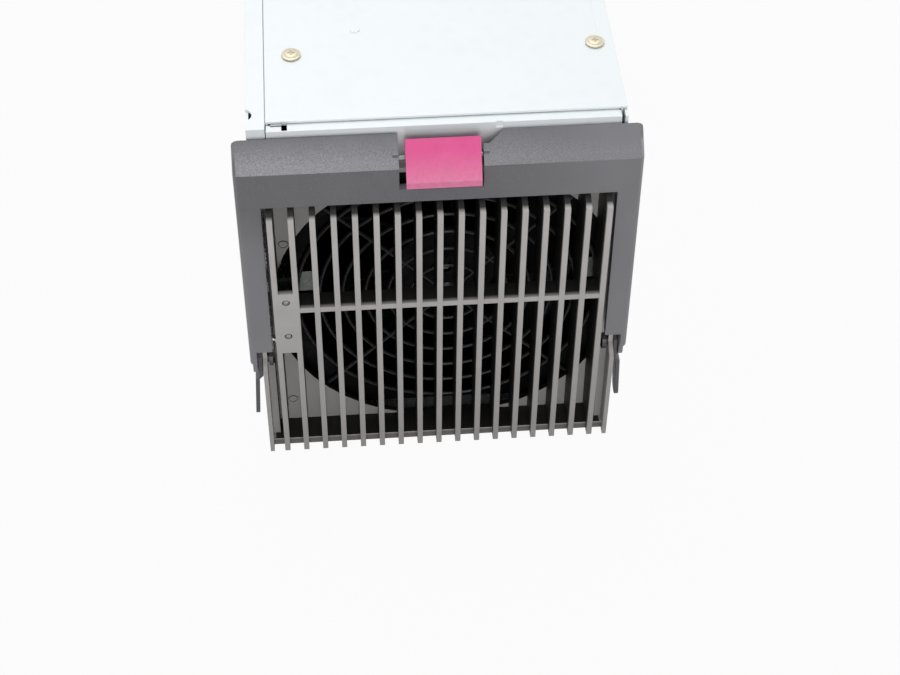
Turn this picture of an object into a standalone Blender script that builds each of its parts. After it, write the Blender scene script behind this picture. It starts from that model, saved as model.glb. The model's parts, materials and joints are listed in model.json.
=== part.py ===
"""Hot-plug power supply module for a server or storage chassis.

A steel case with a moulded front housing of upright fins, an axial fan behind them, a swinging
U-shaped handle with a press latch, and a full power stage inside.

Sizes are in millimetres. X runs across the front, Z up. Depth is measured from the handle's front
face towards the rear, and each object's location carries that face to its place on the Y axis.
"""

import math

import bmesh
import bpy
from mathutils import Matrix, Vector

MM = 0.001
SEAT_GAP = 0.3

# Fan, the size that the case is built round
FAN_SIZE = 120.0
FAN_DEPTH = 38.0
FAN_RIM = 2.0
FAN_FLANGE = 4.0
FAN_HOLE_INSET = 7.5
FAN_SCREW_RADIUS = 1.8
FAN_WALL_GAP = 0.4
FAN_LIFT = 5.7
BLADE_COUNT = 7
BLADE_TIP_GAP = 1.7
BLADE_DEPTH = 18.0
HUB_RADIUS = 21.5
HUB_WALL = 2.0
HUB_RECESS = 11.0

# Steel case
STEEL = 1.0
CABLE_CHANNEL = 9.2
HEADROOM = 31.3
CASE_DEPTH = 278.0
CASE_SETBACK = 10.8
FLANGE_WIDTH = 6.5
COVER_SETBACK = 2.2
COVER_SKIRT = 12.0
BAR_SETBACK = 9.2
BAR_DEPTH = 48.0

# Moulded front housing
FIN_COUNT = 17
FIN_THICKNESS = 2.05
FIN_EDGE_GAP = 1.65
FIN_REACH = 3.4
FIN_LEAN = 5.2
HOUSING_WALL = 2.1
SIDE_WALL = 1.6
HOUSING_STEP = 0.8
HOUSING_HEADROOM = 16.5
PLATE_DEPTH = 15.8
PLATE_THICKNESS = 2.2
OPENING_MARGIN = 6.0
FLOOR_SETBACK = 3.5
RIB_HEIGHT = 80.6
RIB_THICKNESS = 2.3
RIB_DEPTH = 8.0
PAD_LOW = 58.0
PAD_HIGH = 89.9
PIPE_RADIUS = 1.0
PIPE_GAP = 0.5
PIPE_HEIGHTS = (67.1, 85.2)
LED_BOARD_SETBACK = 6.2
LEAD_SETBACK = 5.0

# Handle
HANDLE_OVERHANG = 5.4
ARM_WIDTH = 8.7
FOLD_DROP = 12.8
TOP_BAR = 15.0
SLOPE_RUN = 8.4
SLOPE_RISE = 9.1
HANDLE_SKIN = 2.6
HANDLE_FACE = 3.4
ARM_DEPTH = 11.0
PIVOT_HEIGHT = 47.2
PIVOT_DEPTH = 8.4
PIVOT_RADIUS = 2.0
EAR_RADIUS = 5.6
EAR_THICKNESS = 1.6
LEVER_THICKNESS = 1.6
LEVER_REACH = 31.0
LEVER_STEP = 1.5

# Release latch
LATCH_WIDTH = 26.2
LATCH_CENTRE = 1.4
LATCH_LEFT_GAP = 2.4
LATCH_RIGHT_GAP = 0.8
NOTCH_HEIGHT = 9.5
LATCH_PIN_RADIUS = 1.0
HOOK_WIDTH = 9.0

# Rear side
CONNECTOR_REACH = 13.0
INLET_WIDTH = 27.0
INLET_HEIGHT = 20.0
VENT_SLOT = 3.2
COVER_SCREW_RADIUS = 1.6

# Boards and the parts on them
BOARD_THICKNESS = 1.6
BOARD_LIFT = 6.3
CARD_HEIGHT = 62.0
BULK_RADIUS = 17.5
BULK_LENGTH = 50.0
CORE_WIDTH = 42.0
SINK_HEIGHT = 84.0
SINK_LENGTH = 96.0
SINK_FINS = 9
SINK_REAR_GAP = 79.6
STAGE_WIDTH = 122.0
BOARD_SCREW_RADIUS = 1.5

# Places that follow from the sizes above
FAN_BORE_RADIUS = FAN_SIZE / 2 - FAN_RIM
FAN_HOLE_SPACING = FAN_SIZE - 2 * FAN_HOLE_INSET
CASE_WIDTH = FAN_SIZE + 2 * STEEL + FAN_WALL_GAP + CABLE_CHANNEL
CASE_HEIGHT = STEEL + FAN_LIFT + FAN_SIZE + HEADROOM
CASE_HALF = CASE_WIDTH / 2
FLANGE_EDGE = -CASE_HALF + FLANGE_WIDTH
WALL_INNER = CASE_HALF - STEEL
CASE_REAR = CASE_SETBACK + CASE_DEPTH
COVER_FRONT = CASE_SETBACK + COVER_SETBACK
COVER_BOTTOM = CASE_HEIGHT - STEEL + SEAT_GAP / 3
BAR_TOP = COVER_BOTTOM - SEAT_GAP
FAN_X = WALL_INNER - FAN_WALL_GAP - FAN_SIZE / 2
FAN_Z = STEEL + FAN_LIFT + FAN_SIZE / 2
PLATE_BACK = PLATE_DEPTH + PLATE_THICKNESS
GUARD_WIRE = 0.8
GUARD_DEPTH = PLATE_BACK + SEAT_GAP + GUARD_WIRE
FAN_FRONT = GUARD_DEPTH + GUARD_WIRE + SEAT_GAP
FAN_REAR = FAN_FRONT + FAN_DEPTH
HUB_FRONT = FAN_FRONT + HUB_RECESS
HOUSING_HALF = CASE_HALF + HOUSING_STEP
HOUSING_TOP = CASE_HEIGHT - HOUSING_HEADROOM
SPIGOT_HALF = WALL_INNER - SEAT_GAP
SPIGOT_BOTTOM = STEEL + SEAT_GAP
HANDLE_HALF = CASE_HALF + HANDLE_OVERHANG
WINDOW_HALF = HANDLE_HALF - ARM_WIDTH
LEVER_IN = HOUSING_HALF + SEAT_GAP
EAR_IN = LEVER_IN + LEVER_THICKNESS + SEAT_GAP
EAR_OUT = EAR_IN + EAR_THICKNESS
FOLD_Z = CASE_HEIGHT - FOLD_DROP
WINDOW_TOP = FOLD_Z - TOP_BAR
FIN_SPAN = 2 * (WINDOW_HALF - FIN_EDGE_GAP) - FIN_THICKNESS
FIN_PITCH = FIN_SPAN / (FIN_COUNT - 1)
FIN_TOP_FRONT = WINDOW_TOP - 4.2
LATCH_LEFT = LATCH_CENTRE - LATCH_WIDTH / 2
LATCH_RIGHT = LATCH_CENTRE + LATCH_WIDTH / 2
LATCH_PIVOT_DEPTH = HANDLE_FACE + 2.6
LATCH_PIVOT_Z = FOLD_Z + 0.2
BOARD_BOTTOM = STEEL + BOARD_LIFT
BOARD_TOP = BOARD_BOTTOM + BOARD_THICKNESS
PART_SEAT = BOARD_TOP + SEAT_GAP
BOARD_FRONT = FAN_REAR + 6.0
BOARD_REAR = CASE_REAR - STEEL - 2.0
BOARD_HALF = WALL_INNER - 3.0
STAGE_SHARE = min(1.0, 2 * BOARD_HALF / STAGE_WIDTH)
PANEL_FRONT = CASE_REAR - STEEL
CONNECTOR_END = CASE_REAR + CONNECTOR_REACH
FRONT_Y = -(CONNECTOR_END - FIN_REACH) / 2


def clear_scene():
    for obj in list(bpy.data.objects):
        bpy.data.objects.remove(obj, do_unlink=True)


def material(name, colour, roughness, metallic=0.0):
    surface = bpy.data.materials.new(name)
    surface.use_nodes = True
    shader = surface.node_tree.nodes["Principled BSDF"]
    shader.inputs["Base Color"].default_value = (*colour, 1.0)
    shader.inputs["Roughness"].default_value = roughness
    shader.inputs["Metallic"].default_value = metallic
    return surface


def add_axis(name, x, depth, z, parent=None):
    """An empty that stands on a joint's axis."""
    axis = bpy.data.objects.new(name, None)
    bpy.context.collection.objects.link(axis)
    axis.location = Vector((x, depth + FRONT_Y, z)) * MM
    if parent:
        axis.parent = parent
        axis.location = axis.location - parent.location
    bpy.context.view_layer.update()
    return axis


def add_part(name, form, surface=None, parent=None):
    """Turns a bmesh drawn in millimetres into a named object."""
    bmesh.ops.recalc_face_normals(form, faces=form.faces[:])
    bmesh.ops.scale(form, vec=(MM, MM, MM), verts=form.verts[:])
    mesh = bpy.data.meshes.new(name)
    form.to_mesh(mesh)
    form.free()
    mesh.shade_smooth()
    mesh.set_sharp_from_angle(angle=math.radians(35))
    obj = bpy.data.objects.new(name, mesh)
    bpy.context.collection.objects.link(obj)
    obj.location.y = FRONT_Y * MM
    if surface:
        mesh.materials.append(surface)
    if parent:
        obj.parent = parent
        obj.matrix_parent_inverse = parent.matrix_world.inverted()
    return obj


def carve(target, form, operation="DIFFERENCE"):
    """Cuts a form from a part, or welds it on, with a Boolean modifier."""
    label = f"{target.name}_{operation.lower()}_{len(target.modifiers)}"
    tool = add_part(label, form, parent=target.parent)
    tool.hide_render = True
    tool.display_type = "WIRE"
    step = target.modifiers.new(label, "BOOLEAN")
    step.operation = operation
    step.solver = "EXACT"
    step.use_self = True
    step.object = tool
    return target


def block(x0, x1, d0, d1, z0, z1, form=None):
    """An axis-aligned block, added to a bmesh."""
    form = form or bmesh.new()
    size = Vector((x1 - x0, d1 - d0, z1 - z0))
    centre = Vector((x0 + x1, d0 + d1, z0 + z1)) / 2
    matrix = Matrix.Translation(centre) @ Matrix.Diagonal((*size, 1.0))
    bmesh.ops.create_cube(form, size=1.0, matrix=matrix)
    return form


def prism(outline, start, end, axis, form=None):
    """Extrudes an outline along X, Y or Z. The outline's two values are the other two axes in order."""
    form = form or bmesh.new()
    place = {
        "X": lambda u, v: (start, u, v),
        "Y": lambda u, v: (u, start, v),
        "Z": lambda u, v: (u, v, start),
    }[axis]
    direction = {"X": Vector((1, 0, 0)), "Y": Vector((0, 1, 0)), "Z": Vector((0, 0, 1))}[axis]
    ring = [form.verts.new(place(u, v)) for u, v in outline]
    face = form.faces.new(ring)
    grown = bmesh.ops.extrude_face_region(form, geom=[face], use_keep_orig=True)
    moved = [item for item in grown["geom"] if isinstance(item, bmesh.types.BMVert)]
    bmesh.ops.translate(form, vec=direction * (end - start), verts=moved)
    return form


def rod(radius, start, end, axis, centre, form=None, steps=24, end_radius=None):
    """A cylinder or cone along X, Y or Z through the centre, given by the other two axes in order."""
    form = form or bmesh.new()
    turn = {
        "X": Matrix.Rotation(math.pi / 2, 4, "Y"),
        "Y": Matrix.Rotation(-math.pi / 2, 4, "X"),
        "Z": Matrix.Identity(4),
    }[axis]
    middle = (start + end) / 2
    place = {
        "X": (middle, centre[0], centre[1]),
        "Y": (centre[0], middle, centre[1]),
        "Z": (centre[0], centre[1], middle),
    }[axis]
    far = radius if end_radius is None else end_radius
    bmesh.ops.create_cone(form, cap_ends=True, segments=steps, radius1=radius, radius2=far,
                          depth=end - start, matrix=Matrix.Translation(place) @ turn)
    return form


def turned(profile, axis, centre, form=None, steps=32):
    """Spins a closed profile of (radius, position along the axis) round an axis."""
    form = form or bmesh.new()
    shape = bmesh.new()
    ring = [shape.verts.new((radius, 0.0, along)) for radius, along in profile]
    pairs = [(ring[i - 1], ring[i]) for i in range(len(ring))]
    edges = [shape.edges.new(pair) for pair in pairs if max(vert.co.x for vert in pair) > 0]
    bmesh.ops.spin(shape, geom=ring + edges, cent=(0, 0, 0), axis=(0, 0, 1),
                   angle=2 * math.pi, steps=steps, use_merge=True)
    bmesh.ops.remove_doubles(shape, verts=shape.verts[:], dist=0.001)
    bmesh.ops.dissolve_degenerate(shape, edges=shape.edges[:], dist=0.0001)
    if axis == "Y":
        bmesh.ops.rotate(shape, cent=(0, 0, 0), matrix=Matrix.Rotation(-math.pi / 2, 3, "X"),
                         verts=shape.verts[:])
        bmesh.ops.translate(shape, vec=(centre[0], 0, centre[1]), verts=shape.verts[:])
    elif axis == "X":
        bmesh.ops.rotate(shape, cent=(0, 0, 0), matrix=Matrix.Rotation(math.pi / 2, 3, "Y"),
                         verts=shape.verts[:])
        bmesh.ops.translate(shape, vec=(0, centre[0], centre[1]), verts=shape.verts[:])
    else:
        bmesh.ops.translate(shape, vec=(centre[0], centre[1], 0), verts=shape.verts[:])
    return merge(form, shape)


def merge(form, extra):
    """Adds one bmesh to another through a spare mesh."""
    spare = bpy.data.meshes.new("spare")
    extra.to_mesh(spare)
    extra.free()
    form.from_mesh(spare)
    bpy.data.meshes.remove(spare)
    return form


def arc(cx, cz, radius, start, end, steps):
    """Points of an arc from one angle to another, in degrees."""
    angles = [math.radians(start + (end - start) * i / steps) for i in range(steps + 1)]
    return [(cx + radius * math.cos(a), cz + radius * math.sin(a)) for a in angles]


def rounded_square(cx, cz, half_width, half_height, radius, steps=4):
    points = []
    for sx, sz, start in ((1, 1, 0), (-1, 1, 90), (-1, -1, 180), (1, -1, 270)):
        corner = (cx + sx * (half_width - radius), cz + sz * (half_height - radius))
        points += arc(*corner, radius, start, start + 90, steps)
    return points


def fan_corners():
    half = FAN_HOLE_SPACING / 2
    return [(FAN_X + sx * half, FAN_Z + sz * half) for sx in (-1, 1) for sz in (-1, 1)]


def fin_front(z):
    """Depth of the fins' front edge, a straight line that leans forward towards the top."""
    share = z / FIN_TOP_FRONT
    return -FIN_REACH + FIN_LEAN * (1 - share)


# Steel case

def build_tray(steel):
    """Floor, side walls and left flange from one sheet, with the board's standoffs pressed into the floor."""
    top = CASE_HEIGHT
    right_top = BAR_TOP
    outline = [(-CASE_HALF, 0), (CASE_HALF, 0), (CASE_HALF, right_top), (WALL_INNER, right_top),
               (WALL_INNER, STEEL),
               (-WALL_INNER, STEEL), (-WALL_INNER, top - STEEL), (FLANGE_EDGE, top - STEEL),
               (FLANGE_EDGE, top),
               (-CASE_HALF, top)]
    tray = add_part("chassis_tray", prism(outline, BAR_SETBACK, CASE_REAR, "Y"), steel)
    standoffs = bmesh.new()
    for place in standoff_places():
        rod(2.9, STEEL / 2, BOARD_BOTTOM - SEAT_GAP, "Z", place, standoffs, steps=6)
    # Front wall folded down from the flange
    block(-CASE_HALF + STEEL / 2, FLANGE_EDGE, BAR_SETBACK, BAR_SETBACK + STEEL, HOUSING_TOP - 1,
          top - STEEL / 2,
          standoffs)
    carve(tray, standoffs, "UNION")
    cuts = block(-CASE_HALF - 1, CASE_HALF + 1, BAR_SETBACK - 1, CASE_SETBACK, -1, HOUSING_TOP + SEAT_GAP)
    # Half-round notch in the left flange, beside the cover's front corner
    rod(3.4, top - STEEL - 0.2, top + 1, "Z", (-CASE_HALF - 1.2, CASE_SETBACK + 6.5), cuts, steps=20)
    # Two keying slots in the right wall and one in the left, near the bottom
    for side, depth in ((1, 70), (1, 200), (-1, 130)):
        block(side * CASE_HALF - 2, side * CASE_HALF + 2, depth, depth + 24, 20, 25, cuts)
    for x, depth in housing_screw_places():
        rod(1.9, -1, STEEL + 1, "Z", (x, depth), cuts, steps=10)
    for place in standoff_places():
        rod(BOARD_SCREW_RADIUS + SEAT_GAP, STEEL + 0.8, BOARD_BOTTOM + 1, "Z", place, cuts, steps=8)
    return carve(tray, cuts)


def housing_screw_places():
    return [(x, CASE_SETBACK + 3.2) for x in (-0.62 * CASE_HALF, 0.62 * CASE_HALF)]


def build_front_bar(steel):
    left = FLANGE_EDGE + SEAT_GAP
    right = WALL_INNER - 1.2
    behind = COVER_FRONT - 0.4
    end = BAR_SETBACK + BAR_DEPTH + 1
    bottom = HOUSING_TOP + SEAT_GAP
    outline = [(BAR_SETBACK, bottom), (BAR_SETBACK + STEEL, bottom), (BAR_SETBACK + STEEL, BAR_TOP - STEEL),
               (BAR_SETBACK + BAR_DEPTH, BAR_TOP - STEEL), (BAR_SETBACK + BAR_DEPTH, BAR_TOP),
               (BAR_SETBACK, BAR_TOP)]
    bar = add_part("front_cross_bar", prism(outline, left, right, "X"), steel)
    # Room for the cover's edges behind the front strip
    cuts = block(left - 1, left + 1.6, behind, end, BAR_TOP - 3, BAR_TOP + 1)
    block(right - 0.4, right + 1, behind, end, BAR_TOP - 3, BAR_TOP + 1, cuts)
    # Keying notch with a slit beside it, and a thin notch right of the latch
    block(left + 5.4, left + 7.3, BAR_SETBACK + 0.4, behind + 0.8, BAR_TOP - 3, BAR_TOP + 1, cuts)
    block(left + 1.6, left + 5.5, behind - 0.8, behind + 0.1, BAR_TOP - 3, BAR_TOP + 1, cuts)
    block(LATCH_CENTRE + 18.6, LATCH_CENTRE + 21, BAR_SETBACK - 1, BAR_SETBACK + 0.6, BAR_TOP - 2.4,
          BAR_TOP + 1, cuts)
    # Slot for the latch's hook
    block(LATCH_CENTRE - HOOK_WIDTH / 2 - 1.5, LATCH_CENTRE + HOOK_WIDTH / 2 + 1.5, BAR_SETBACK - 1,
          BAR_SETBACK + STEEL + 1, LATCH_PIVOT_Z - 1.2, LATCH_PIVOT_Z + 4.4, cuts)
    for place in cover_screw_places()[:2]:
        rod(COVER_SCREW_RADIUS + SEAT_GAP, BAR_TOP - 3, BAR_TOP + 1, "Z", place, cuts, steps=12)
    return carve(bar, cuts)


def cover_screw_places():
    """The two front screws that the photograph shows, and two at the rear."""
    front = BAR_SETBACK + BAR_DEPTH - 8
    rear = CASE_REAR - 8
    left = -CASE_HALF + 16.4
    return [(left, front), (CASE_HALF - 6.8, front), (left, rear), (CASE_HALF - 8.8, rear)]


def build_cover(steel):
    """Top sheet with a lip under the tray's flange at the left, a skirt inside the right wall and one rivet."""
    edge = FLANGE_EDGE + SEAT_GAP
    under = CASE_HEIGHT - STEEL - SEAT_GAP
    skirt_out = WALL_INNER - SEAT_GAP
    skirt_in = skirt_out - 0.9
    outline = [(edge - 3, under - 0.8), (edge + 0.8, under - 0.8), (edge + 0.8, COVER_BOTTOM),
               (skirt_in, COVER_BOTTOM), (skirt_in, CASE_HEIGHT - COVER_SKIRT),
               (skirt_out, CASE_HEIGHT - COVER_SKIRT),
               (skirt_out, COVER_BOTTOM), (CASE_HALF, COVER_BOTTOM), (CASE_HALF, CASE_HEIGHT),
               (edge, CASE_HEIGHT),
               (edge, under), (edge - 3, under)]
    cover = add_part("top_cover", prism(outline, COVER_FRONT, PANEL_FRONT - SEAT_GAP, "Y"), steel)
    carve(cover, rod(1.9, CASE_HEIGHT - 0.4, CASE_HEIGHT + 0.5, "Z", rivet_place(), steps=12), "UNION")
    holes = bmesh.new()
    for place in cover_screw_places():
        rod(COVER_SCREW_RADIUS + SEAT_GAP, CASE_HEIGHT - 3, CASE_HEIGHT + 1, "Z", place, holes, steps=12)
    return carve(cover, holes)


def rivet_place():
    return (-0.4 * CASE_HALF, BAR_SETBACK + BAR_DEPTH + 5.4)


def build_cover_screws(brass):
    head = CASE_HEIGHT + SEAT_GAP
    for number, place in enumerate(cover_screw_places(), 1):
        profile = [(0, CASE_HEIGHT - 6), (COVER_SCREW_RADIUS, CASE_HEIGHT - 6), (COVER_SCREW_RADIUS, head),
                   (3.4, head), (2.9, head + 1.2), (0, head + 1.2)]
        add_part(f"cover_screw_{number}", turned(profile, "Z", place, steps=14), brass)


def build_rear_panel(steel):
    side = WALL_INNER - SEAT_GAP
    flange_top = BAR_TOP
    panel = add_part("rear_panel", block(-side, side, PANEL_FRONT, CASE_REAR, SPIGOT_BOTTOM, flange_top),
                     steel)
    lip_left = FLANGE_EDGE + 1.7
    lip_right = side - 1.5
    tabs = block(lip_left, lip_right, PANEL_FRONT - 13, PANEL_FRONT + 0.5, flange_top - STEEL, flange_top)
    block(-side + 4, side - 4, PANEL_FRONT - 2, PANEL_FRONT + 0.5, SPIGOT_BOTTOM, SPIGOT_BOTTOM + STEEL,
          tabs)
    carve(panel, tabs, "UNION")
    cuts = bmesh.new()
    x, z = inlet_centre()
    block(x - INLET_WIDTH / 2, x + INLET_WIDTH / 2, PANEL_FRONT - 1, CASE_REAR + 1, z - INLET_HEIGHT / 2,
          z + INLET_HEIGHT / 2, cuts)
    x0, x1, z0, z1 = connector_window()
    block(x0, x1, PANEL_FRONT - 1, CASE_REAR + 1, z0, z1, cuts)
    # Exhaust slots in two rows
    slots = 11
    first = -side + 12
    pitch = (2 * side - 24 - VENT_SLOT) / (slots - 1)
    for row in range(2):
        low = 56 + row * 47
        for i in range(slots):
            x = first + i * pitch
            block(x, x + VENT_SLOT, PANEL_FRONT - 1, CASE_REAR + 1, low, low + 41, cuts)
    for x, depth in cover_screw_places()[2:]:
        rod(COVER_SCREW_RADIUS + SEAT_GAP, flange_top - 3, flange_top + 1, "Z", (x, depth), cuts, steps=12)
    return carve(panel, cuts)


def inlet_centre():
    return (-CASE_HALF + 25.8, 33.0)


def connector_window():
    """Opening for the blind-mate output connector."""
    left = 0.02 * CASE_HALF
    return (left, left + 52.0, BOARD_BOTTOM + 0.4, BOARD_BOTTOM + 20.0)


# Moulded front housing

def build_housing(grey):
    front_zone = CASE_SETBACK - SEAT_GAP
    housing = add_part("grille_housing", block(-SPIGOT_HALF, SPIGOT_HALF, PLATE_DEPTH, PLATE_BACK,
                                               SPIGOT_BOTTOM, HOUSING_TOP), grey)
    opening_radius = FAN_SIZE / 2 + OPENING_MARGIN
    keep_low = SPIGOT_BOTTOM + HOUSING_WALL
    edge = SPIGOT_HALF - HOUSING_WALL
    # The round opening is flattened where it meets the walls and the floor
    opening = [(max(-edge, min(edge, x)), max(keep_low, z))
               for x, z in arc(FAN_X, FAN_Z, opening_radius, 0, 360, 48)[:-1]]
    carve(housing, prism(opening, PLATE_DEPTH - 1, PLATE_BACK + 1, "Y"))

    shell = bmesh.new()
    # Floor, top and the shoulder that meets the case's front edge
    floor_front = fin_front(0) + FLOOR_SETBACK
    block(-HOUSING_HALF, HOUSING_HALF, floor_front, front_zone, 0, keep_low, shell)
    block(-SPIGOT_HALF, SPIGOT_HALF, front_zone - 1.5, PLATE_DEPTH + 0.5, SPIGOT_BOTTOM, keep_low, shell)
    top_front = HANDLE_FACE + 1.8
    block(-HOUSING_HALF, HOUSING_HALF, top_front, front_zone, HOUSING_TOP - HOUSING_WALL, HOUSING_TOP, shell)
    block(-SPIGOT_HALF, SPIGOT_HALF, front_zone - 1.5, PLATE_DEPTH + 0.5, HOUSING_TOP - HOUSING_WALL,
          HOUSING_TOP, shell)
    # Side walls: full reach below the handle's arms, set back behind them
    step_z = PIVOT_HEIGHT - 1.2
    wall = [(fin_front(0), 0), (front_zone, 0), (front_zone, HOUSING_TOP), (top_front, HOUSING_TOP),
            (top_front, step_z + 3.5), (fin_front(step_z), step_z)]
    for side in (-1, 1):
        inner = side * (HOUSING_HALF - SIDE_WALL)
        outer = side * HOUSING_HALF
        prism(wall, min(inner, outer), max(inner, outer), "X", shell)
        block(min(side * edge, outer), max(side * edge, outer), front_zone - 2, front_zone, 0, HOUSING_TOP,
              shell)
        block(min(side * edge, side * SPIGOT_HALF), max(side * edge, side * SPIGOT_HALF), front_zone - 1,
              PLATE_DEPTH + 0.5, SPIGOT_BOTTOM, HOUSING_TOP, shell)
    # Fins, with their tops set back behind the handle's bar
    fin = [(fin_front(0), 0), (front_zone - 0.1, 0), (front_zone - 0.1, keep_low - 0.6),
           (PLATE_DEPTH + 0.3, keep_low - 0.6), (PLATE_DEPTH + 0.3, HOUSING_TOP - 0.8),
           (top_front + 0.3, HOUSING_TOP - 0.8), (top_front + 0.3, WINDOW_TOP - 0.2),
           (-FIN_REACH, FIN_TOP_FRONT)]
    for x in fin_places():
        prism(fin, x - FIN_THICKNESS / 2, x + FIN_THICKNESS / 2, "X", shell)
    # Cross rib, and the indicator pad over the two fins at the left
    fins = fin_places()
    rib_front = fin_front(RIB_HEIGHT) + 0.2
    block(fins[1], fins[-1], rib_front, rib_front + RIB_DEPTH, RIB_HEIGHT - RIB_THICKNESS / 2,
          RIB_HEIGHT + RIB_THICKNESS / 2, shell)
    pad = [(fin_front(PAD_LOW) - 0.05, PAD_LOW), (fin_front(PAD_LOW) + HOUSING_WALL, PAD_LOW),
           (fin_front(PAD_HIGH) + HOUSING_WALL, PAD_HIGH), (fin_front(PAD_HIGH) - 0.05, PAD_HIGH)]
    prism(pad, fins[0] - FIN_THICKNESS / 2 - 0.02, fins[1] + FIN_THICKNESS / 2 + 0.02, "X", shell)
    carve(housing, shell, "UNION")

    holes = bmesh.new()
    for z in PIPE_HEIGHTS:
        rod(PIPE_RADIUS + PIPE_GAP, -8, 6, "Y", (pad_centre(), z), holes, steps=16)
    for x, z in fan_corners():
        rod(FAN_SCREW_RADIUS + SEAT_GAP, PLATE_DEPTH + 0.4, PLATE_BACK + 1, "Y", (x, z), holes, steps=10)
    for side in (-1, 1):
        start = side * (edge - 0.4)
        middle = side * (HOUSING_HALF - SIDE_WALL - 0.5)
        end = side * (HOUSING_HALF + 1)
        centre = (PIVOT_DEPTH, PIVOT_HEIGHT)
        rod(PIVOT_RADIUS + 1.8, min(start, middle), max(start, middle), "X", centre, holes, steps=16)
        rod(PIVOT_RADIUS + SEAT_GAP, min(start, end), max(start, end), "X", centre, holes, steps=16)
    for x, depth in housing_screw_places():
        rod(1.6, -1, SPIGOT_BOTTOM + 1.4, "Z", (x, depth), holes, steps=10)
    # Ways for the indicator lead: back past the shoulder, and through the first fin to the lamps' board
    lead_x, lead_z = lead_hole()
    block(-WALL_INNER - 0.5, lead_x + 1.4, CASE_SETBACK - 2.6, PLATE_BACK + 1, lead_z - 5, lead_z + 2.2,
          holes)
    start = fin_front(PAD_LOW) + LEAD_SETBACK
    block(lead_x - 0.5, pad_centre() - 2, start - 1.6, start + 1.6, PAD_LOW + 0.3, PAD_LOW + 6.6, holes)
    return carve(housing, holes)


def fin_places():
    middle = (FIN_COUNT - 1) / 2
    return [(i - middle) * FIN_PITCH for i in range(FIN_COUNT)]


def pad_centre():
    fins = fin_places()
    return (fins[0] + fins[1]) / 2


def lead_hole():
    """The indicator lead runs midway between the first fin and the side wall."""
    fin_face = fin_places()[0] - FIN_THICKNESS / 2
    return ((fin_face - (HOUSING_HALF - SIDE_WALL)) / 2, HOUSING_TOP - HOUSING_WALL - 3.2)


def build_housing_screws(zinc):
    for side, (x, depth) in zip(("left", "right"), housing_screw_places()):
        profile = [(0, 0.2), (1.5, 0.2), (1.3, SPIGOT_BOTTOM + 1.1), (0, SPIGOT_BOTTOM + 1.1)]
        add_part(f"housing_screw_{side}", turned(profile, "Z", (x, depth), steps=10), zinc)


def build_indicators(clear, board_green):
    """Two light pipes in the pad, and the board with their lamps in the gap between the first two fins."""
    x = pad_centre()
    board_front = fin_front(PAD_LOW) + LED_BOARD_SETBACK
    half = (FIN_PITCH - FIN_THICKNESS) / 2 - SEAT_GAP
    board = add_part("led_board", block(x - half, x + half, board_front, board_front + 1.0, PAD_LOW,
                                        PAD_HIGH),
                     board_green)
    lamps = bmesh.new()
    for place, z in zip(("lower", "upper"), PIPE_HEIGHTS):
        pipe = rod(PIPE_RADIUS, fin_front(z) + 0.1, board_front - 1.6, "Y", (x, z), steps=12)
        add_part(f"light_pipe_{place}", pipe, clear)
        block(x - 0.8, x + 0.8, board_front - 1.3, board_front + 0.3, z - 0.6, z + 0.6, lamps)
    carve(board, lamps, "UNION")


def build_led_lead(foil):
    """The indicator lead: from the lamps' board up the channel beside the first fin, then back to the main board."""
    x, high = lead_hole()
    low = PAD_LOW + 2
    start = fin_front(PAD_LOW) + LEAD_SETBACK
    route = [(pad_centre() - 1.2, start, low), (pad_centre() - 3.2, start, low),
             (x + 0.8, start + 0.3, low + 0.8), (x, start + 0.6, low + 3.2),
             (x, 6.6, low + 12), (x, 7.0, low + 24), (x, 6.4, low + 38), (x, 7.0, low + 52),
             (x, 6.6, high - 10),
             (x, 7.2, high - 3), (x, 10.0, high), (x, 14.0, high), (x, 22.0, high), (x, 40.0, high + 3),
             (x, FAN_REAR + 4, high), (x, FAN_REAR + 14, 0.6 * high), (x + 2, BOARD_FRONT + 14, 34),
             (x + 4.4, BOARD_FRONT + 14, PART_SEAT + 8), (x + 4.4, BOARD_FRONT + 14, PART_SEAT + 0.2)]
    return add_lead("led_harness", route, 0.95, foil)


def add_lead(name, route, radius, surface):
    """A round lead along a smooth curve through the route's points."""
    points = smooth_route([Vector(point) for point in route], radius * 9)
    curve = bpy.data.curves.new(name, "CURVE")
    curve.dimensions = "3D"
    curve.bevel_depth = radius * MM
    curve.bevel_resolution = 1
    curve.use_fill_caps = True
    spline = curve.splines.new("POLY")
    spline.points.add(len(points) - 1)
    for slot, point in zip(spline.points, points):
        slot.co = (*(point * MM), 1.0)
    obj = bpy.data.objects.new(name, curve)
    obj.location.y = FRONT_Y * MM
    curve.materials.append(surface)
    bpy.context.collection.objects.link(obj)
    return obj


def smooth_route(points, step):
    """Evenly spaced points of a Catmull-Rom curve through the given ones."""
    ends = [2 * points[0] - points[1]] + points + [2 * points[-1] - points[-2]]
    fine = []
    for a, b, c, d in zip(ends, ends[1:], ends[2:], ends[3:]):
        count = min(3, int((c - b).length / step) + 1)
        for i in range(count):
            t = i / count
            fine.append(0.5 * (2 * b + (c - a) * t + (2 * a - 5 * b + 4 * c - d) * t * t
                               + (3 * b - a - 3 * c + d) * t ** 3))
    fine.append(points[-1])
    return fine


# Fan

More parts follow.
